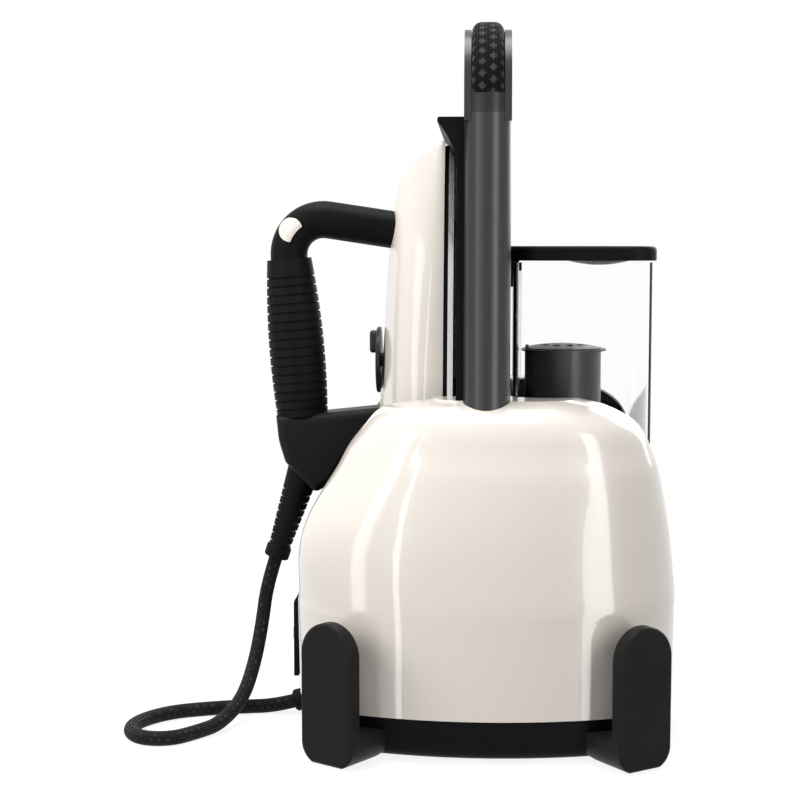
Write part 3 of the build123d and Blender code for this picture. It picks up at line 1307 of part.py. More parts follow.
with BuildPart() as control_board:
    with BuildSketch(level(BOARD_Z)):
        with Locations((BOARD_X, BOARD_Y)):
            Rectangle(BOARD_WIDE, BOARD_DEEP)
    extrude(amount=1.6)
    for x, y, wide, deep, high in ((-14, 8, 18, 16, 14), (12, 10, 16, 12, 9), (-8, -10, 26, 10, 12), (16, -10, 8, 8, 16)):
        with BuildSketch(level(BOARD_Z + 1.6)):
            with Locations((BOARD_X + x, BOARD_Y + y)):
                Rectangle(wide, deep)
        extrude(amount=high)
control_board.part.label = "control_board"
export_step(control_board.part, "parts/control_board.step")

# Mains gland and power switch on the far end
MAINS_Y = SHELL_HALF_DEPTH + 1.0
with BuildPart() as mains_gland:
    with BuildSketch(upright(MAINS_Y)):
        with Locations((0, MAINS_Z)):
            Circle(MAINS_RADIUS)
    extrude(amount=16.0)
    chamfer(mains_gland.edges().filter_by(GeomType.CIRCLE).sort_by(Axis.Y)[-1], 1.0)
    with BuildSketch(upright(MAINS_Y)):
        with Locations((0, MAINS_Z)):
            Circle(MAINS_BORE)
    extrude(amount=20.0, mode=Mode.SUBTRACT)
mains_gland.part.label = "mains_gland"
export_step(mains_gland.part, "parts/mains_gland.step")

SWITCH_FACE_Y = SHELL_HALF_DEPTH - SHELL_WALL - 1.4
SWITCH_BORE = 9.0
with BuildPart() as power_switch:
    with BuildSketch(upright(SWITCH_FACE_Y)):
        with Locations((0, SWITCH_Z)):
            RectangleRounded(26.0, 26.0, 3.0)
    extrude(amount=16.0)
    with BuildSketch(upright(SWITCH_FACE_Y)):
        with Locations((0, SWITCH_Z)):
            Circle(SWITCH_RADIUS + RUN)
    extrude(amount=SWITCH_BORE, mode=Mode.SUBTRACT)
power_switch.part.label = "power_switch"
export_step(power_switch.part, "parts/power_switch.step")

with BuildPart() as power_button:
    with BuildSketch(upright(SHELL_HALF_DEPTH + 1.6)):
        with Locations((0, SWITCH_Z)):
            Circle(SWITCH_RADIUS)
    extrude(amount=SHELL_HALF_DEPTH + 1.6 - SWITCH_FACE_Y + SWITCH_BORE - SWITCH_TRAVEL - RUN)
    fillet(power_button.edges().filter_by(GeomType.CIRCLE).sort_by(Axis.Y)[-1], 1.0)
power_button.part.label = "power_button"
export_step(power_button.part, "parts/power_button.step")

# Cord strap: a folded band on a stud on the iron side, with a loop at the fold
STRAP_X = -SHELL_HALF_WIDTH - 0.6
STRAP_GAP = 1.4
with BuildPart() as cord_strap:
    outer_x = STRAP_X - 2 * STRAP_LEAF - STRAP_GAP
    ring_z = STRAP_TOP_Z - STRAP_LEAF - STRAP_GAP / 2
    with BuildSketch(upright()):
        with Locations((STRAP_X - STRAP_LEAF - STRAP_GAP / 2, ring_z)):
            Circle(STRAP_LEAF + STRAP_GAP / 2)
        with Locations((outer_x + STRAP_LEAF / 2, ring_z - STRAP_LENGTH / 2 + 2.0)):
            Rectangle(STRAP_LEAF, STRAP_LENGTH - 4.0)
        with Locations((STRAP_X - STRAP_LEAF / 2, ring_z - STRAP_LENGTH / 2 + 2.0 + STRAP_STEP / 2)):
            Rectangle(STRAP_LEAF, STRAP_LENGTH - 4.0 - STRAP_STEP)
        with Locations((STRAP_X - STRAP_LEAF - STRAP_GAP / 2, ring_z - STRAP_LENGTH / 2 - 4.0)):
            Rectangle(STRAP_GAP, STRAP_LENGTH - 20.0)
        with Locations((STRAP_X - STRAP_LEAF - STRAP_GAP / 2, ring_z)):
            Circle(1.4, mode=Mode.SUBTRACT)
    extrude(amount=STRAP_WIDTH / 2, both=True)
    with BuildSketch(facing(STRAP_X)):
        with Locations((0, STUD_Z)):
            Circle(2.5 + FIT)
    extrude(amount=-30.0, mode=Mode.SUBTRACT)
cord_strap.part.label = "cord_strap"
export_step(cord_strap.part, "parts/cord_strap.step")

with BuildPart() as strap_stud:
    with BuildSketch(facing(outer_x)):
        with Locations((0, STUD_Z)):
            Circle(2.5)
    extrude(amount=STRAP_X - outer_x + 0.5)
    with BuildSketch(facing(outer_x)):
        with Locations((0, STUD_Z)):
            Circle(4.5)
    extrude(amount=-1.2)
    fillet(strap_stud.edges().filter_by(GeomType.CIRCLE).sort_by(Axis.X)[0], 0.8)
strap_stud.part.label = "strap_stud"
export_step(strap_stud.part, "parts/strap_stud.step")

# Steam hose from the boot, down to the floor, round a loop and back in to the gland
hose_points = [at(*p) for p in HOSE_POINTS]
hose_radii = []
for before, here, after in zip(hose_points, hose_points[1:], hose_points[2:]):
    first = here - before
    second = after - here
    half_turn = acos(max(-1.0, min(1.0, first.normalized().dot(second.normalized())))) / 2
    hose_radii.append(0.45 * min(first.length, second.length) / tan(half_turn))
with BuildPart() as steam_hose:
    with BuildLine() as hose_line:
        FilletPolyline(*hose_points, radius=hose_radii)
    with BuildSketch(Plane(hose_line.line @ 0, z_dir=hose_line.line % 0)):
        Circle(HOSE_RADIUS)
    sweep(path=hose_line.line)
steam_hose.part.label = "steam_hose"
export_step(steam_hose.part, "parts/steam_hose.step")
hose_long = hose_line.wires()[0].length
print("hose radii", [round(r, 1) for r in hose_radii])
print("hose", round(hose_long), "volume", round(steam_hose.part.volume), "of", round(3.1416 * HOSE_RADIUS**2 * hose_long))
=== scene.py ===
"""Looks for a compact steam ironing station: finishes, woven sleeve, steam hose and studio."""
import math
from typing import NamedTuple

import bpy
from bpy.props import FloatProperty, FloatVectorProperty, PointerProperty
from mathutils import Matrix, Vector


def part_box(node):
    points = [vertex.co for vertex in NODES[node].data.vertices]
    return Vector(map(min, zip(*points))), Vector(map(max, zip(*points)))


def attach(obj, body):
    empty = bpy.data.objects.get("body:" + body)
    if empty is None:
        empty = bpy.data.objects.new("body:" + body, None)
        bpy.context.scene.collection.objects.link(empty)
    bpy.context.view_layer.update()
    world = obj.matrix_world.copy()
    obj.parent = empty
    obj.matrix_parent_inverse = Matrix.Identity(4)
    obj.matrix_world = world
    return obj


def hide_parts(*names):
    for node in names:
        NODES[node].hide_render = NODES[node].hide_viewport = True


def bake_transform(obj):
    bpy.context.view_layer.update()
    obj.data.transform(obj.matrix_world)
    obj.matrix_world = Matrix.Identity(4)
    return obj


bl_info = {
    "name": "Steam Ironing Station",
    "version": (1, 0, 0),
    "blender": (4, 5, 0),
    "location": "View3D > Sidebar > Station",
    "description": "Dresses the packed steam ironing station with its finishes, sleeve, hose and studio",
    "category": "Object",
}

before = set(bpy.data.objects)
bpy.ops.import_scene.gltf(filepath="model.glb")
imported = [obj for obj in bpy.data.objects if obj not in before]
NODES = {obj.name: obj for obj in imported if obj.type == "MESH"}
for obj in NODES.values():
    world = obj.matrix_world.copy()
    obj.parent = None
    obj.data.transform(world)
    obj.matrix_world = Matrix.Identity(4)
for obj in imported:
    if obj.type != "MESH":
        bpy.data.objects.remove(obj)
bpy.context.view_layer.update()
SLEEVE_LOW, SLEEVE_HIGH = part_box("grip_sleeve")
HANDLE_X = (SLEEVE_LOW.x + SLEEVE_HIGH.x) / 2

# Cross-sections along each stretch of the woven sleeve, and points along each of its section's corners.
LEG_STEPS = 3
BEND_STEPS = 24
BAR_STEPS = 40
CORNER_STEPS = 8
SLEEVE_FLECKS = (0.0058, 0.0064)

# The hose's control points, in millimetres from the carry handle's middle, from the boot to the base.
HOSE_ROUTE = (
    (-122.9, 0.0, 85.3),
    (-128.43, 0.0, 68.17),
    (-130.5, -7.0, 47.0),
    (-132.8, -24.0, 27.5),
    (-136.5, -48.0, 12.5),
    (-146.0, -70.0, 4.6),
    (-156.0, -83.5, 4.0),
    (-168.0, -97.5, 4.0),
    (-185.0, -97.0, 4.0),
    (-194.5, -82.5, 4.0),
    (-192.0, -64.0, 4.0),
    (-178.0, -46.0, 4.0),
    (-157.0, -37.3, 4.0),
    (-138.0, -32.5, 4.0),
    (-120.5, -30.0, 4.12),
    (-109.0, -30.0, 7.2),
)
HOSE_ORDER = 3
HOSE_RESOLUTION = 14
HOSE_SIDES = 28
HOSE_YARNS = 14
HOSE_FLECKS_ROUND = 8
HOSE_FLECK_ROW = 0.0045
HOSE_FLECK_SHADE = 0.65

FLOOR_REACH = 6.0
FLOOR_GLOW = 0.86
WHITE = (1, 1, 1, 1)


class Lamp(NamedTuple):
    """One soft box: where it stands, what it faces, its size in metres and its power in watts."""

    name: str
    place: tuple
    aim: tuple
    wide: float
    tall: float
    power: float
    mirrored: bool = True


STATION_MIDDLE = (0, 0, 0.2)
LAMPS = (
    Lamp("key_left", (-1.75, -0.65, 1.05), STATION_MIDDLE, wide=0.9, tall=1.1, power=21.5, mirrored=False),
    Lamp("wall_left", (-1.15, -1.10, 0.45), STATION_MIDDLE, wide=0.4, tall=1.9, power=8.5),
    Lamp("strip_left", (-0.66, -1.35, 0.10), (-0.03, 0, 0.10), wide=0.05, tall=2.4, power=3.0),
    Lamp("strip_right", (0.88, -1.12, 0.30), (0.03, 0, 0.20), wide=0.42, tall=1.9, power=14.0),
    Lamp("overhead", (-0.2, 0.0, 1.9), STATION_MIDDLE, wide=1.2, tall=1.0, power=30.0),
    Lamp("back_fill", (0.9, 1.5, 0.9), STATION_MIDDLE, wide=1.4, tall=1.2, power=17.0),
)


def length(name, description, default):
    return FloatProperty(name=name, description=description, default=default, unit="LENGTH")


def angle(name, description, degrees):
    return FloatProperty(name=name, description=description, default=math.radians(degrees), subtype="ANGLE")


def colour(name, description, default):
    return FloatVectorProperty(name=name, description=description, default=default, subtype="COLOR", size=3)


class StationSizes(bpy.types.PropertyGroup):
    """Sizes that the dressed pieces are made to."""

    hose_radius: length("Hose radius", "Radius of the steam hose", 0.004)
    hose_length: length("Hose length", "Length of the steam hose along its middle", 0.298)
    sleeve_thickness: length("Sleeve thickness", "Height of the woven sleeve's section", 0.027)
    sleeve_bend: length("Sleeve bend", "Radius of the carry handle's corners", 0.0235)
    sleeve_corner: length("Sleeve corner", "Rounding of the woven sleeve's section", 0.0052)
    yarn_pitch: length("Yarn pitch", "Width of one braided yarn", 0.0017)


class StationColours(bpy.types.PropertyGroup):
    """Colours of the station's finishes."""

    pearl: colour("Pearl white", "Shell and iron cover", (0.80, 0.738, 0.672))
    black: colour("Grained black", "Pan, bays, lid and iron handle", (0.006, 0.006, 0.006))
    satin: colour("Satin black", "Feet and rear housing", (0.012, 0.012, 0.012))
    graphite: colour("Graphite", "Carry posts and collars", (0.018, 0.018, 0.019))
    yarn: colour("Black yarn", "Woven sleeve and hose", (0.005, 0.005, 0.0055))
    fleck: colour("Pale yarn", "Flecks in the woven sleeve", (0.080, 0.078, 0.079))
    rubber: colour("Rubber", "Boot, glands and pads", (0.006, 0.006, 0.006))
    silicone: colour("Silicone", "Dock pads, heel rest and tubes", (0.20, 0.20, 0.205))
    aluminium: colour("Aluminium", "Soleplate and castings", (0.72, 0.72, 0.73))
    steel: colour("Steel", "Boiler, screws and pins", (0.56, 0.56, 0.57))
    brass: colour("Brass", "Valve bodies", (0.72, 0.52, 0.22))
    board: colour("Board green", "Control board", (0.02, 0.11, 0.05))


class StationStudio(bpy.types.PropertyGroup):
    """Camera and light of the studio."""

    lens: FloatProperty(name="Lens", description="Camera lens", default=75.62, unit="CAMERA")
    sensor: FloatProperty(name="Sensor", description="Width of the camera's sensor", default=36.0, unit="CAMERA")
    eye: FloatVectorProperty(
        name="Eye",
        description="Where the camera stands",
        subtype="TRANSLATION",
        size=3,
        default=(0.0100, -0.9709, 0.2680),
    )
    pitch: angle("Pitch", "How far the camera looks down", 5.292)
    yaw: angle("Yaw", "How far the camera turns to the left", 2.807)
    ambient: FloatProperty(name="Ambient", description="Soft light from all round", default=0.10)


class Value:
    """A shader socket that takes part in plain Python maths."""

    def __init__(self, shader, socket):
        self.shader = shader
        self.socket = socket

    def maths(self, operation, *values):
        return self.shader.node("ShaderNodeMath", {"operation": operation}, dict(enumerate(values)))

    def __add__(self, other):
        return self.maths("ADD", self, other)

    def __radd__(self, other):
        return self.maths("ADD", other, self)

    def __sub__(self, other):
        return self.maths("SUBTRACT", self, other)

    def __rsub__(self, other):
        return self.maths("SUBTRACT", other, self)

    def __mul__(self, other):
        return self.maths("MULTIPLY", self, other)

    def __truediv__(self, other):
        return self.maths("DIVIDE", self, other)

    def __mod__(self, other):
        return self.maths("FLOORED_MODULO", self, other)

    def floor(self):
        return self.maths("FLOOR", self)

    def fract(self):
        return self.maths("FRACT", self)

    def size(self):
        return self.maths("ABSOLUTE", self)

    def sine(self):
        return self.maths("SINE", self)

    def above(self, other):
        return self.maths("GREATER_THAN", self, other)

    def larger(self, other):
        return self.maths("MAXIMUM", self, other)

    def smooth(self, low, high):
        """0 below low, 1 above high and a soft step between."""
        return self.shader.node(
            "ShaderNodeMapRange",
            {"interpolation_type": "SMOOTHSTEP"},
            {"Value": self, "From Min": low, "From Max": high},
        )


class Shader:
    """A node tree, made node by node."""

    def __init__(self, owner):
        owner.use_nodes = True
        self.tree = owner.node_tree

    def node(self, kind, settings=None, sockets=None, output=0):
        made = self.tree.nodes.new(kind)
        for key, setting in (settings or {}).items():
            setattr(made, key, setting)
        for key, value in (sockets or {}).items():
            self.plug(made.inputs[key], value)
        return Value(self, made.outputs[output])

    def plug(self, socket, value):
        if isinstance(value, Value):
            self.tree.links.new(value.socket, socket)
        else:
            socket.default_value = value

    def rays(self):
        """Whether a ray comes straight from the camera, off a gloss or through something clear."""
        path = self.node("ShaderNodeLightPath").socket.node
        return [Value(self, path.outputs[f"Is {kind} Ray"]) for kind in ("Camera", "Glossy", "Transmission")]


class Finish(Shader):
    """One material with its plain surface."""

    def __init__(self, name):
        self.material = bpy.data.materials.new(name)
        super().__init__(self.material)
        self.surface = self.tree.nodes["Principled BSDF"]

    def place(self):
        return self.node("ShaderNodeTexCoord", output="Object")

    def parts(self, vector):
        split = self.node("ShaderNodeSeparateXYZ", None, {0: vector}).socket.node
        return [Value(self, out) for out in split.outputs]

    def noise(self, scale, detail=3.0, roughness=0.5, vector=None):
        return self.node(
            "ShaderNodeTexNoise",
            None,
            {"Vector": vector or self.place(), "Scale": scale, "Detail": detail, "Roughness": roughness},
        )

    def tint(self, factor, first, second):
        """A mix of two colours, each a red, green and blue or a value made before."""
        ends = [end if isinstance(end, Value) else (*end, 1.0) for end in (first, second)]
        return self.node(
            "ShaderNodeMix", {"data_type": "RGBA"}, {0: factor, 6: ends[0], 7: ends[1]}, output=2
        )

    def bump(self, height, depth):
        self.set(Normal=self.node("ShaderNodeBump", None, {"Height": height, "Distance": depth, "Strength": 1.0}))

    def set(self, **sockets):
        for key, value in sockets.items():
            self.plug(self.surface.inputs[key.replace("_", " ")], value)


def shade(tone, amount):
    return tuple(min(1.0, part * amount) for part in tone)


def moulded(name, tone, grain, depth, rough, spread, specular):
    """A moulded plastic or rubber with a fine spark-eroded grain and faint cloudiness."""
    finish = Finish(name)
    cloud = finish.noise(38.0)
    speck = finish.noise(grain, detail=2.0, roughness=0.6)
    finish.set(
        Base_Color=finish.tint(cloud, shade(tone, 0.85), shade(tone, 1.18)),
        Roughness=cloud * spread + speck * spread + (rough - spread),
        Specular_IOR_Level=specular,
    )
    finish.bump(speck, depth)
    return finish.material


def pearl_white(tone):
    """Glossy white plastic with mica in it under a clear coat."""
    finish = Finish("pearl_white")
    mica = finish.noise(2600.0, detail=1.0)
    wave = finish.noise(9.0, detail=2.0)
    glint = mica.smooth(0.52, 0.74)
    finish.set(
        Base_Color=finish.tint(wave * 0.5 + glint * 0.5, shade(tone, 0.985), shade(tone, 1.035)),
        Roughness=0.20 + wave * 0.05 - glint * 0.05,
        Specular_IOR_Level=0.5,
        Coat_Weight=0.55 + wave * 0.1,
        Coat_Roughness=0.03,
    )
    finish.bump(finish.noise(30.0, detail=1.0), 0.00004)
    return finish.material


def turned_metal(name, tone, rough, along, scale):
    """Metal with fine lines along one axis of the part."""
    finish = Finish(name)
    scales = tuple(1.0 if axis == along else scale for axis in "xyz")
    stretch = finish.node("ShaderNodeMapping", None, {"Vector": finish.place(), "Scale": scales})
    lines = finish.noise(14.0, detail=4.0, roughness=0.6, vector=stretch)
    cloud = finish.noise(22.0)
    finish.set(
        Base_Color=finish.tint(cloud, shade(tone, 0.9), shade(tone, 1.06)),
        Metallic=1.0,
        Roughness=lines * 0.16 + (rough - 0.08),
    )
    finish.bump(lines, 0.00005)
    return finish.material


def cast_metal(name, tone, rough):
    """Cast metal with a sandy skin."""
    finish = Finish(name)
    sand = finish.noise(900.0, detail=4.0, roughness=0.7)
    cloud = finish.noise(40.0)
    finish.set(
        Base_Color=finish.tint(cloud, shade(tone, 0.82), shade(tone, 1.05)),
        Metallic=1.0,
        Roughness=sand * 0.2 + (rough - 0.1),
    )
    finish.bump(sand, 0.00015)
    return finish.material


def clear_plastic():
    """Clear moulded plastic of the water tank."""
    finish = Finish("clear_plastic")
    haze = finish.noise(30.0)
    finish.set(
        Base_Color=(0.985, 0.99, 0.99, 1.0),
        Roughness=haze * 0.02,
        Transmission_Weight=1.0,
        IOR=1.10,
        Specular_IOR_Level=0.5,
    )
    return finish.material


def board_laminate(tone):
    """Circuit board with pale tracks."""
    finish = Finish("board_laminate")
    x, y, _ = finish.parts(finish.place())
    tracks = ((x * 420.0).fract() - 0.5).size().smooth(0.36, 0.42) * (y * 95.0).sine().above(0.2)
    finish.set(
        Base_Color=finish.tint(tracks, tone, shade(tone, 2.2)),
        Roughness=0.45 - tracks * 0.1,
        Specular_IOR_Level=0.4,
    )
    finish.bump(tracks, 0.00005)
    return finish.material


def braid(name, yarn, pale, pitch, column, row, scatter, gloss):
    """Braided yarn on a piece whose map runs round it and along it in metres.

    Pale yarn shows in a regular set of flecks, a column and a row apart, which a scatter of 1 thins out at random.
    """
    finish = Finish(name)
    around, along, _ = finish.parts(finish.node("ShaderNodeUVMap", {"uv_map": "yarn"}))
    turn = math.pi / pitch
    over = (along + around) * turn
    under = (along - around) * turn
    side = ((over / math.pi).floor() + (under / math.pi).floor()) % 2.0
    height = over.sine().size() * side + under.sine().size() * (1.0 - side)
    across = around / column
    down = along / row + (across.floor() % 2.0) * 0.5
    spread = (across.fract() - 0.5).size() + (down.fract() - 0.5).size()
    kept = finish.noise(260.0, detail=1.0).smooth(0.36, 0.66) * scatter + (1.0 - scatter)
    # Flecks are dimmer where the yarns dip, by 0.55 + 0.45 of the yarn's height: painted shade in the weave's
    # hollows.
    fleck = (1.0 - spread.smooth(0.18, 0.48)) * (0.55 + height * 0.45) * kept
    fuzz = finish.noise(1500.0, detail=2.0)
    # Plain yarn runs from 0.45 to 2.2 times its colour with the yarn's height times fuzz: painted shade in the
    # weave's hollows and painted light on its crests, plus random tone from the fuzz.
    plain = finish.tint(height * fuzz, shade(yarn, 0.45), shade(yarn, 2.2))
    finish.set(
        Base_Color=finish.tint(fleck, plain, pale),
        Roughness=0.78 - height * 0.2,
        Specular_IOR_Level=gloss,
        Sheen_Weight=0.03,
        Sheen_Roughness=0.4,
    )
    finish.bump(height + fuzz * 0.25, 0.00045)
    return finish.material


def studio_paper():
    """Pale floor that keeps the shadow near the station and runs out to plain white."""
    finish = Finish("studio_paper")
    x, y, _ = finish.parts(finish.place())
    far = (x * x + y * y).smooth(0.09, 0.55)
    camera, glossy, clear = finish.rays()
    fibre = finish.noise(60.0)
    finish.set(
        Base_Color=finish.tint(fibre, (0.20, 0.20, 0.20), (0.22, 0.22, 0.22)),
        Roughness=0.9,
        Specular_IOR_Level=0.0,
        Emission_Color=WHITE,
        Emission_Strength=camera * FLOOR_GLOW,
    )
    white = finish.node("ShaderNodeEmission", None, {"Color": WHITE, "Strength": 1.0})
    seen = (camera + glossy + clear).smooth(0.0, 1.0)
    paper = Value(finish, finish.surface.outputs[0])
    mix = finish.node("ShaderNodeMixShader", None, {0: far * seen, 1: paper, 2: white})
    finish.plug(finish.tree.nodes["Material Output"].inputs["Surface"], mix)
    return finish.material


def studio_world(ambient):
    """A world that looks white and lights the station softly."""
    world = bpy.data.worlds.new("studio_world")
    shader = Shader(world)
    camera, glossy, clear = shader.rays()
    seen = camera.larger(glossy.larger(clear))
    level = shader.node("ShaderNodeMapRange", None, {"Value": seen, "To Min": ambient, "To Max": 1.0})
    background = shader.tree.nodes["Background"]
    shader.plug(background.inputs["Color"], WHITE)
    shader.plug(background.inputs["Strength"], level)
    return world


def dress(material, slot, *names):
    for name in names:
        node = NODES[name]
        node.data.materials.clear()
        node.data.materials.append(material)


def lengths(points):
    """How far along a line of points each of them lies."""
    runs = [0.0]
    for before, after in zip(points, points[1:]):
        runs.append(runs[-1] + (after - before).length)
    return runs


def swept_piece(name, stations, ring, material):
    """A closed tube of section points set out at each station, with a map in metres round and along it.

    stations holds (centre, side, up) for each cross-section and ring the section's (across, out) points.
    """
    count = len(ring)
    verts = [centre + side * a + up * b for centre, side, up in stations for a, b in ring]
    reach = max(b for _, b in ring)
    runs = lengths([centre + up * reach for centre, _, up in stations])
    turns = lengths([Vector(point) for point in (*ring, ring[0])])
    faces, maps = [], []
    for j in range(len(stations) - 1):
        for i in range(count):
            k = (i + 1) % count
            near, far = j * count, (j + 1) * count
            faces.append((near + i, near + k, far + k, far + i))
            maps += [(turns[i], runs[j]), (turns[i + 1], runs[j])]
            maps += [(turns[i + 1], runs[j + 1]), (turns[i], runs[j + 1])]
    last = (len(stations) - 1) * count
    faces.append(tuple(reversed(range(count))))
    faces.append(tuple(last + i for i in range(count)))
    maps += [(0.0, 0.0)] * (2 * count)
    mesh = bpy.data.meshes.new(name)
    mesh.from_pydata(verts, [], faces)
    layer = mesh.uv_layers.new(name="yarn")
    for loop, place in zip(layer.data, maps):
        loop.uv = place
    mesh.validate()
    mesh.polygons.foreach_set("use_smooth", [len(f) == 4 for f in faces])
    mesh.materials.append(material)
    return linked(name, mesh)


def linked(name, data):
    made = bpy.data.objects.new(name, data)
    bpy.context.scene.collection.objects.link(made)
    return made


def rounded_section(half_wide, half_tall, corner, steps):
    """Points of a rounded rectangle, evenly spaced enough for a braid to follow."""
    points = []
    for cx, cy, start in ((1, 1, 0), (-1, 1, 90), (-1, -1, 180), (1, -1, 270)):
        for i in range(steps + 1):
            turn = math.radians(start + 90 * i / steps)
            x = cx * (half_wide - corner) + corner * math.cos(turn)
            y = cy * (half_tall - corner) + corner * math.sin(turn)
            points.append((x, y))
    return points


def sleeve_stations(half, bend):
    """Cross-sections of the sleeve, up the near post, along the bar and down the far post."""
    reach = SLEEVE_HIGH.y - half
    middle = SLEEVE_HIGH.z - half
    rise = middle - bend - SLEEVE_LOW.z
    leg = []
    for i in range(LEG_STEPS):
        leg.append((Vector((HANDLE_X, -reach, SLEEVE_LOW.z + rise * i / LEG_STEPS)), Vector((0, -1, 0))))
    for i in range(BEND_STEPS + 1):
        turn = math.radians(90 * i / BEND_STEPS)
        out = Vector((0, -math.cos(turn), math.sin(turn)))
        leg.append((Vector((HANDLE_X, bend - reach, middle - bend)) + out * bend, out))
    bar = []
    for i in range(1, BAR_STEPS):
        bar.append((Vector((HANDLE_X, (reach - bend) * (2 * i / BAR_STEPS - 1), middle)), Vector((0, 0, 1))))
    back = [(Vector((c.x, -c.y, c.z)), Vector((0, -o.y, o.z))) for c, o in reversed(leg)]
    return [(centre, Vector((1, 0, 0)), out) for centre, out in leg + bar + back]


def hose_path():
    """Points along the hose's middle, on one smooth curve through its route."""
    curve = bpy.data.curves.new("hose_route", "CURVE")
    curve.dimensions = "3D"
    spline = curve.splines.new("NURBS")
    spline.points.add(len(HOSE_ROUTE) - 1)
    for point, (x, y, z) in zip(spline.points, HOSE_ROUTE):
        point.co = (HANDLE_X + x / 1000, y / 1000, z / 1000, 1.0)
    spline.order_u = HOSE_ORDER
    spline.use_endpoint_u = True
    spline.resolution_u = HOSE_RESOLUTION
    guide = linked("hose_route", curve)
    bpy.context.view_layer.update()
    line = bpy.data.meshes.new_from_object(guide)
    path = [v.co.copy() for v in line.vertices]
    bpy.data.objects.remove(guide)
    return path


def hose_stations(path):
    """Cross-sections of the hose, none of them twisted against the one before."""
    stations = []
    side = Vector((0, 1, 0))
    for i, centre in enumerate(path):
        along = (path[min(i + 1, len(path) - 1)] - path[max(i - 1, 0)]).normalized()
        side = (side - along * side.dot(along)).normalized()
        stations.append((centre, side, along.cross(side)))
    return stations


def soft_box(lamp):
    light = bpy.data.lights.new(lamp.name, "AREA")
    light.shape = "RECTANGLE"
    light.size = lamp.wide
    light.size_y = lamp.tall
    light.energy = lamp.power
    made = linked(lamp.name, light)
    made.location = lamp.place
    made.rotation_euler = (Vector(lamp.aim) - Vector(lamp.place)).to_track_quat("-Z", "Y").to_euler()
    made.visible_glossy = lamp.mirrored


class STATION_OT_white_mouldings(bpy.types.Operator):
    """Gives the shell, the iron's cover and the steam buttons their pearl white"""

    bl_idname = "station.white_mouldings"
    bl_label = "White Mouldings"

    def execute(self, context):
        white = pearl_white(context.scene.station_colours.pearl)
        dress(white, "pearl_white", "outer_shell", "iron_cover", "steam_button_near", "steam_button_far")
        return {"FINISHED"}


class STATION_OT_black_mouldings(bpy.types.Operator):
    """Gives the pan, bays, feet, handle, lid and housings their black plastics"""

    bl_idname = "station.black_mouldings"
    bl_label = "Black Mouldings"

    def execute(self, context):
        colours = context.scene.station_colours
        grained = moulded(
            "grained_black", colours.black, grain=1300.0, depth=0.00010, rough=0.46, spread=0.10, specular=0.06
        )
        dress(
            grained, "black_plastic", "base_pan", "dock_panel", "iron_bay", "tank_bay", "pump_bracket",
            "sole_skirt", "power_switch", "hinge_bracket", "tank_lid",
        )
        satin = moulded(
            "satin_black", colours.satin, grain=1700.0, depth=0.00006, rough=0.40, spread=0.08, specular=0.08
        )
        dress(satin, "black_satin", "foot_near_left", "foot_near_right", "foot_far_left", "foot_far_right")
        dress(grained, "black_satin", "iron_handle")
        dress(satin, "black_plastic", "rear_housing")
        graphite = moulded(
            "graphite_satin", colours.graphite, grain=1900.0, depth=0.00004, rough=0.32, spread=0.06, specular=0.45
        )
        dress(graphite, "black_satin", "handle_frame")
        dress(graphite, "black_plastic", "filter_cup")
        trim = moulded(
            "dark_trim", colours.graphite, grain=1900.0, depth=0.00004, rough=0.36, spread=0.06, specular=0.25
        )
        dress(
            trim, "dark_trim", "handle_collars", "temperature_dial", "tank_valve", "fill_dish", "filter_cap",
            "power_button",
        )
        return {"FINISHED"}


class STATION_OT_rubbers(bpy.types.Operator):
    """Gives the boot, glands, pads, strap and iron grip their rubbers"""

    bl_idname = "station.rubbers"
    bl_label = "Rubbers"

    def execute(self, context):
        colours = context.scene.station_colours
        rubber = moulded(
            "black_rubber", colours.rubber, grain=800.0, depth=0.00012, rough=0.58, spread=0.12, specular=0.08
        )
        dress(
            rubber, "rubber", "foot_pads", "valve_socket", "hose_gland", "mains_gland", "cord_strap", "hose_boot"
        )
        ribbed = shade(colours.rubber, 1.1)
        grip = moulded(
            "ribbed_rubber", ribbed, grain=1000.0, depth=0.00010, rough=0.52, spread=0.10, specular=0.07
        )
        dress(grip, "grip_rubber", "iron_grip")
        soft = moulded(
            "grey_silicone", colours.silicone, grain=700.0, depth=0.00008, rough=0.48, spread=0.08, specular=0.4
        )
        dress(soft, "silicone", "dock_pads", "heel_rest", "water_tube", "steam_tube", "steam_line")
        return {"FINISHED"}


class STATION_OT_metals(bpy.types.Operator):
    """Gives the soleplate, castings, boiler and fasteners their metals"""

    bl_idname = "station.metals"
    bl_label = "Metals"

    def execute(self, context):
        colours = context.scene.station_colours
        sole = turned_metal("soleplate_aluminium", colours.aluminium, rough=0.24, along="z", scale=40.0)
        dress(sole, "sole_metal", "soleplate")
        casting = cast_metal("cast_aluminium", shade(colours.aluminium, 0.8), rough=0.5)
        dress(casting, "cast_aluminium", "iron_casting", "boiler_heater")
        steel = turned_metal("drawn_steel", colours.steel, rough=0.32, along="y", scale=18.0)
        dress(
            steel, "steel", "foot_screws", "handle_core", "boiler_lower", "boiler_upper", "strap_stud", "hinge_pin"
        )
        brass = cast_metal("valve_brass", colours.brass, rough=0.42)
        dress(brass, "brass", "boiler_thermostat", "solenoid_valve")
        dark = shade(colours.steel, 0.12)
        motor = moulded("motor_black", dark, grain=500.0, depth=0.00008, rough=0.42, spread=0.08, specular=0.5)
        dress(motor, "dark_metal", "water_pump")
        return {"FINISHED"}


class STATION_OT_tank_and_board(bpy.types.Operator):
    """Gives the water tank its clear plastic and the control board its laminate"""

    bl_idname = "station.tank_and_board"
    bl_label = "Tank and Board"

    def execute(self, context):
        dress(clear_plastic(), "clear_plastic", "tank_vessel")
        dress(board_laminate(context.scene.station_colours.board), "board_green", "control_board")
        return {"FINISHED"}


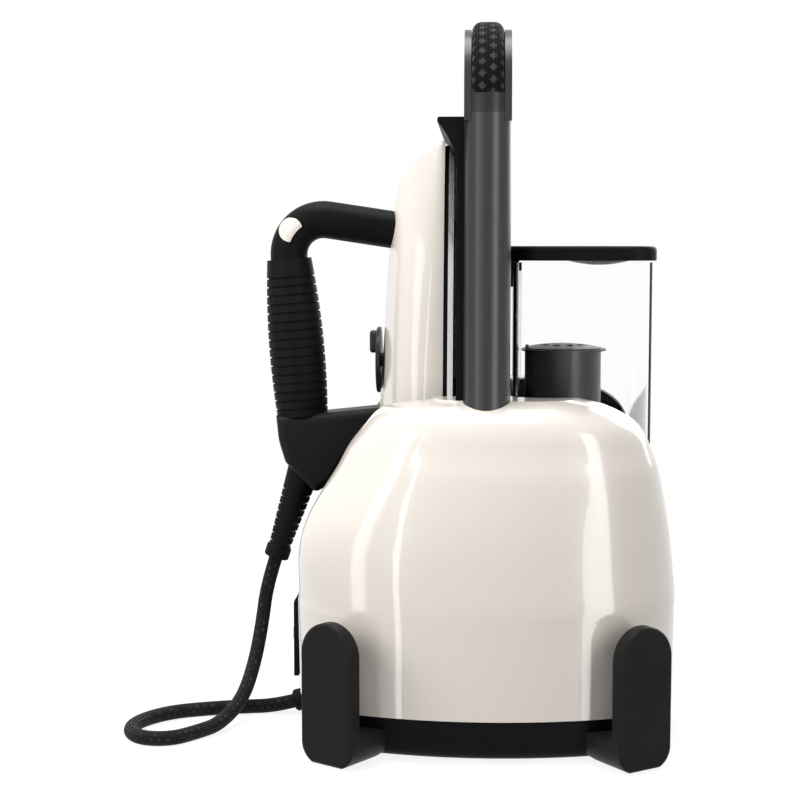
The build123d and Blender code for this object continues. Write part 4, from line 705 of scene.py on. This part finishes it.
class STATION_OT_woven_sleeve(bpy.types.Operator):
    """Weaves the sleeve over the carry handle"""

    bl_idname = "station.woven_sleeve"
    bl_label = "Woven Sleeve"

    def execute(self, context):
        sizes = context.scene.station_sizes
        colours = context.scene.station_colours
        half = sizes.sleeve_thickness / 2
        stations = sleeve_stations(half, sizes.sleeve_bend)
        wide = (SLEEVE_HIGH.x - SLEEVE_LOW.x) / 2
        ring = rounded_section(wide, half, sizes.sleeve_corner, CORNER_STEPS)
        column, row = SLEEVE_FLECKS
        cloth = braid(
            "woven_sleeve", colours.yarn, colours.fleck, sizes.yarn_pitch, column, row, scatter=0.0, gloss=0.06
        )
        sleeve = swept_piece("woven_sleeve", stations, ring, cloth)
        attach(sleeve, "base")
        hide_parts("grip_sleeve")
        return {"FINISHED"}


class STATION_OT_steam_hose(bpy.types.Operator):
    """Lays the woven steam hose from the iron's boot, round its loop on the floor and into the base"""

    bl_idname = "station.steam_hose"
    bl_label = "Steam Hose"

    def execute(self, context):
        sizes = context.scene.station_sizes
        colours = context.scene.station_colours
        path = hose_path()
        radius = sizes.hose_radius
        corners = [math.tau * i / HOSE_SIDES for i in range(HOSE_SIDES)]
        ring = [(radius * math.cos(turn), radius * math.sin(turn)) for turn in corners]
        girth = 2 * HOSE_SIDES * radius * math.sin(math.pi / HOSE_SIDES)
        pale = shade(colours.fleck, HOSE_FLECK_SHADE)
        column = girth / HOSE_FLECKS_ROUND
        cloth = braid(
            "hose_weave", colours.yarn, pale, girth / HOSE_YARNS, column, HOSE_FLECK_ROW, scatter=1.0, gloss=0.16
        )
        hose = swept_piece("woven_hose", hose_stations(path), ring, cloth)
        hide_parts("steam_hose")
        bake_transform(hose)
        return {"FINISHED"}


class STATION_OT_studio(bpy.types.Operator):
    """Sets up the pale floor, the soft lights and the camera"""

    bl_idname = "station.studio"
    bl_label = "Studio"

    def execute(self, context):
        scene = context.scene
        studio = scene.station_studio
        scene.view_settings.view_transform = "Standard"
        camera = linked("station_camera", bpy.data.cameras.new("station_camera"))
        camera.data.lens = studio.lens
        camera.data.sensor_width = studio.sensor
        camera.location = studio.eye
        camera.rotation_euler = (math.pi / 2 - studio.pitch, 0.0, studio.yaw)
        scene.camera = camera
        scene.world = studio_world(studio.ambient)
        mesh = bpy.data.meshes.new("studio_floor")
        corners = [(x * FLOOR_REACH, y * FLOOR_REACH, 0) for x, y in ((-1, -1), (1, -1), (1, 1), (-1, 1))]
        mesh.from_pydata(corners, [], [(0, 1, 2, 3)])
        floor = linked("studio_floor", mesh)
        floor.visible_glossy = False
        mesh.materials.append(studio_paper())
        for lamp in LAMPS:
            soft_box(lamp)
        return {"FINISHED"}


OPERATORS = (
    STATION_OT_white_mouldings,
    STATION_OT_black_mouldings,
    STATION_OT_rubbers,
    STATION_OT_metals,
    STATION_OT_tank_and_board,
    STATION_OT_woven_sleeve,
    STATION_OT_steam_hose,
    STATION_OT_studio,
)


class VIEW3D_PT_station(bpy.types.Panel):
    """Steps that dress the station, in order"""

    bl_label = "Steam Ironing Station"
    bl_space_type = "VIEW_3D"
    bl_region_type = "UI"
    bl_category = "Station"

    def draw(self, context):
        for step in OPERATORS:
            self.layout.operator(step.bl_idname)
        for group in (context.scene.station_sizes, context.scene.station_colours, context.scene.station_studio):
            box = self.layout.box()
            for key in group.__annotations__:
                box.prop(group, key)


CLASSES = (StationSizes, StationColours, StationStudio, *OPERATORS, VIEW3D_PT_station)


def register():
    for cls in CLASSES:
        bpy.utils.register_class(cls)
    bpy.types.Scene.station_sizes = PointerProperty(type=StationSizes)
    bpy.types.Scene.station_colours = PointerProperty(type=StationColours)
    bpy.types.Scene.station_studio = PointerProperty(type=StationStudio)


def unregister():
    del bpy.types.Scene.station_studio
    del bpy.types.Scene.station_colours
    del bpy.types.Scene.station_sizes
    for cls in reversed(CLASSES):
        bpy.utils.unregister_class(cls)


def main():
    register()
    for step in OPERATORS:
        area, action = step.bl_idname.split(".")
        getattr(getattr(bpy.ops, area), action)()


if __name__ == "__main__":
    main()
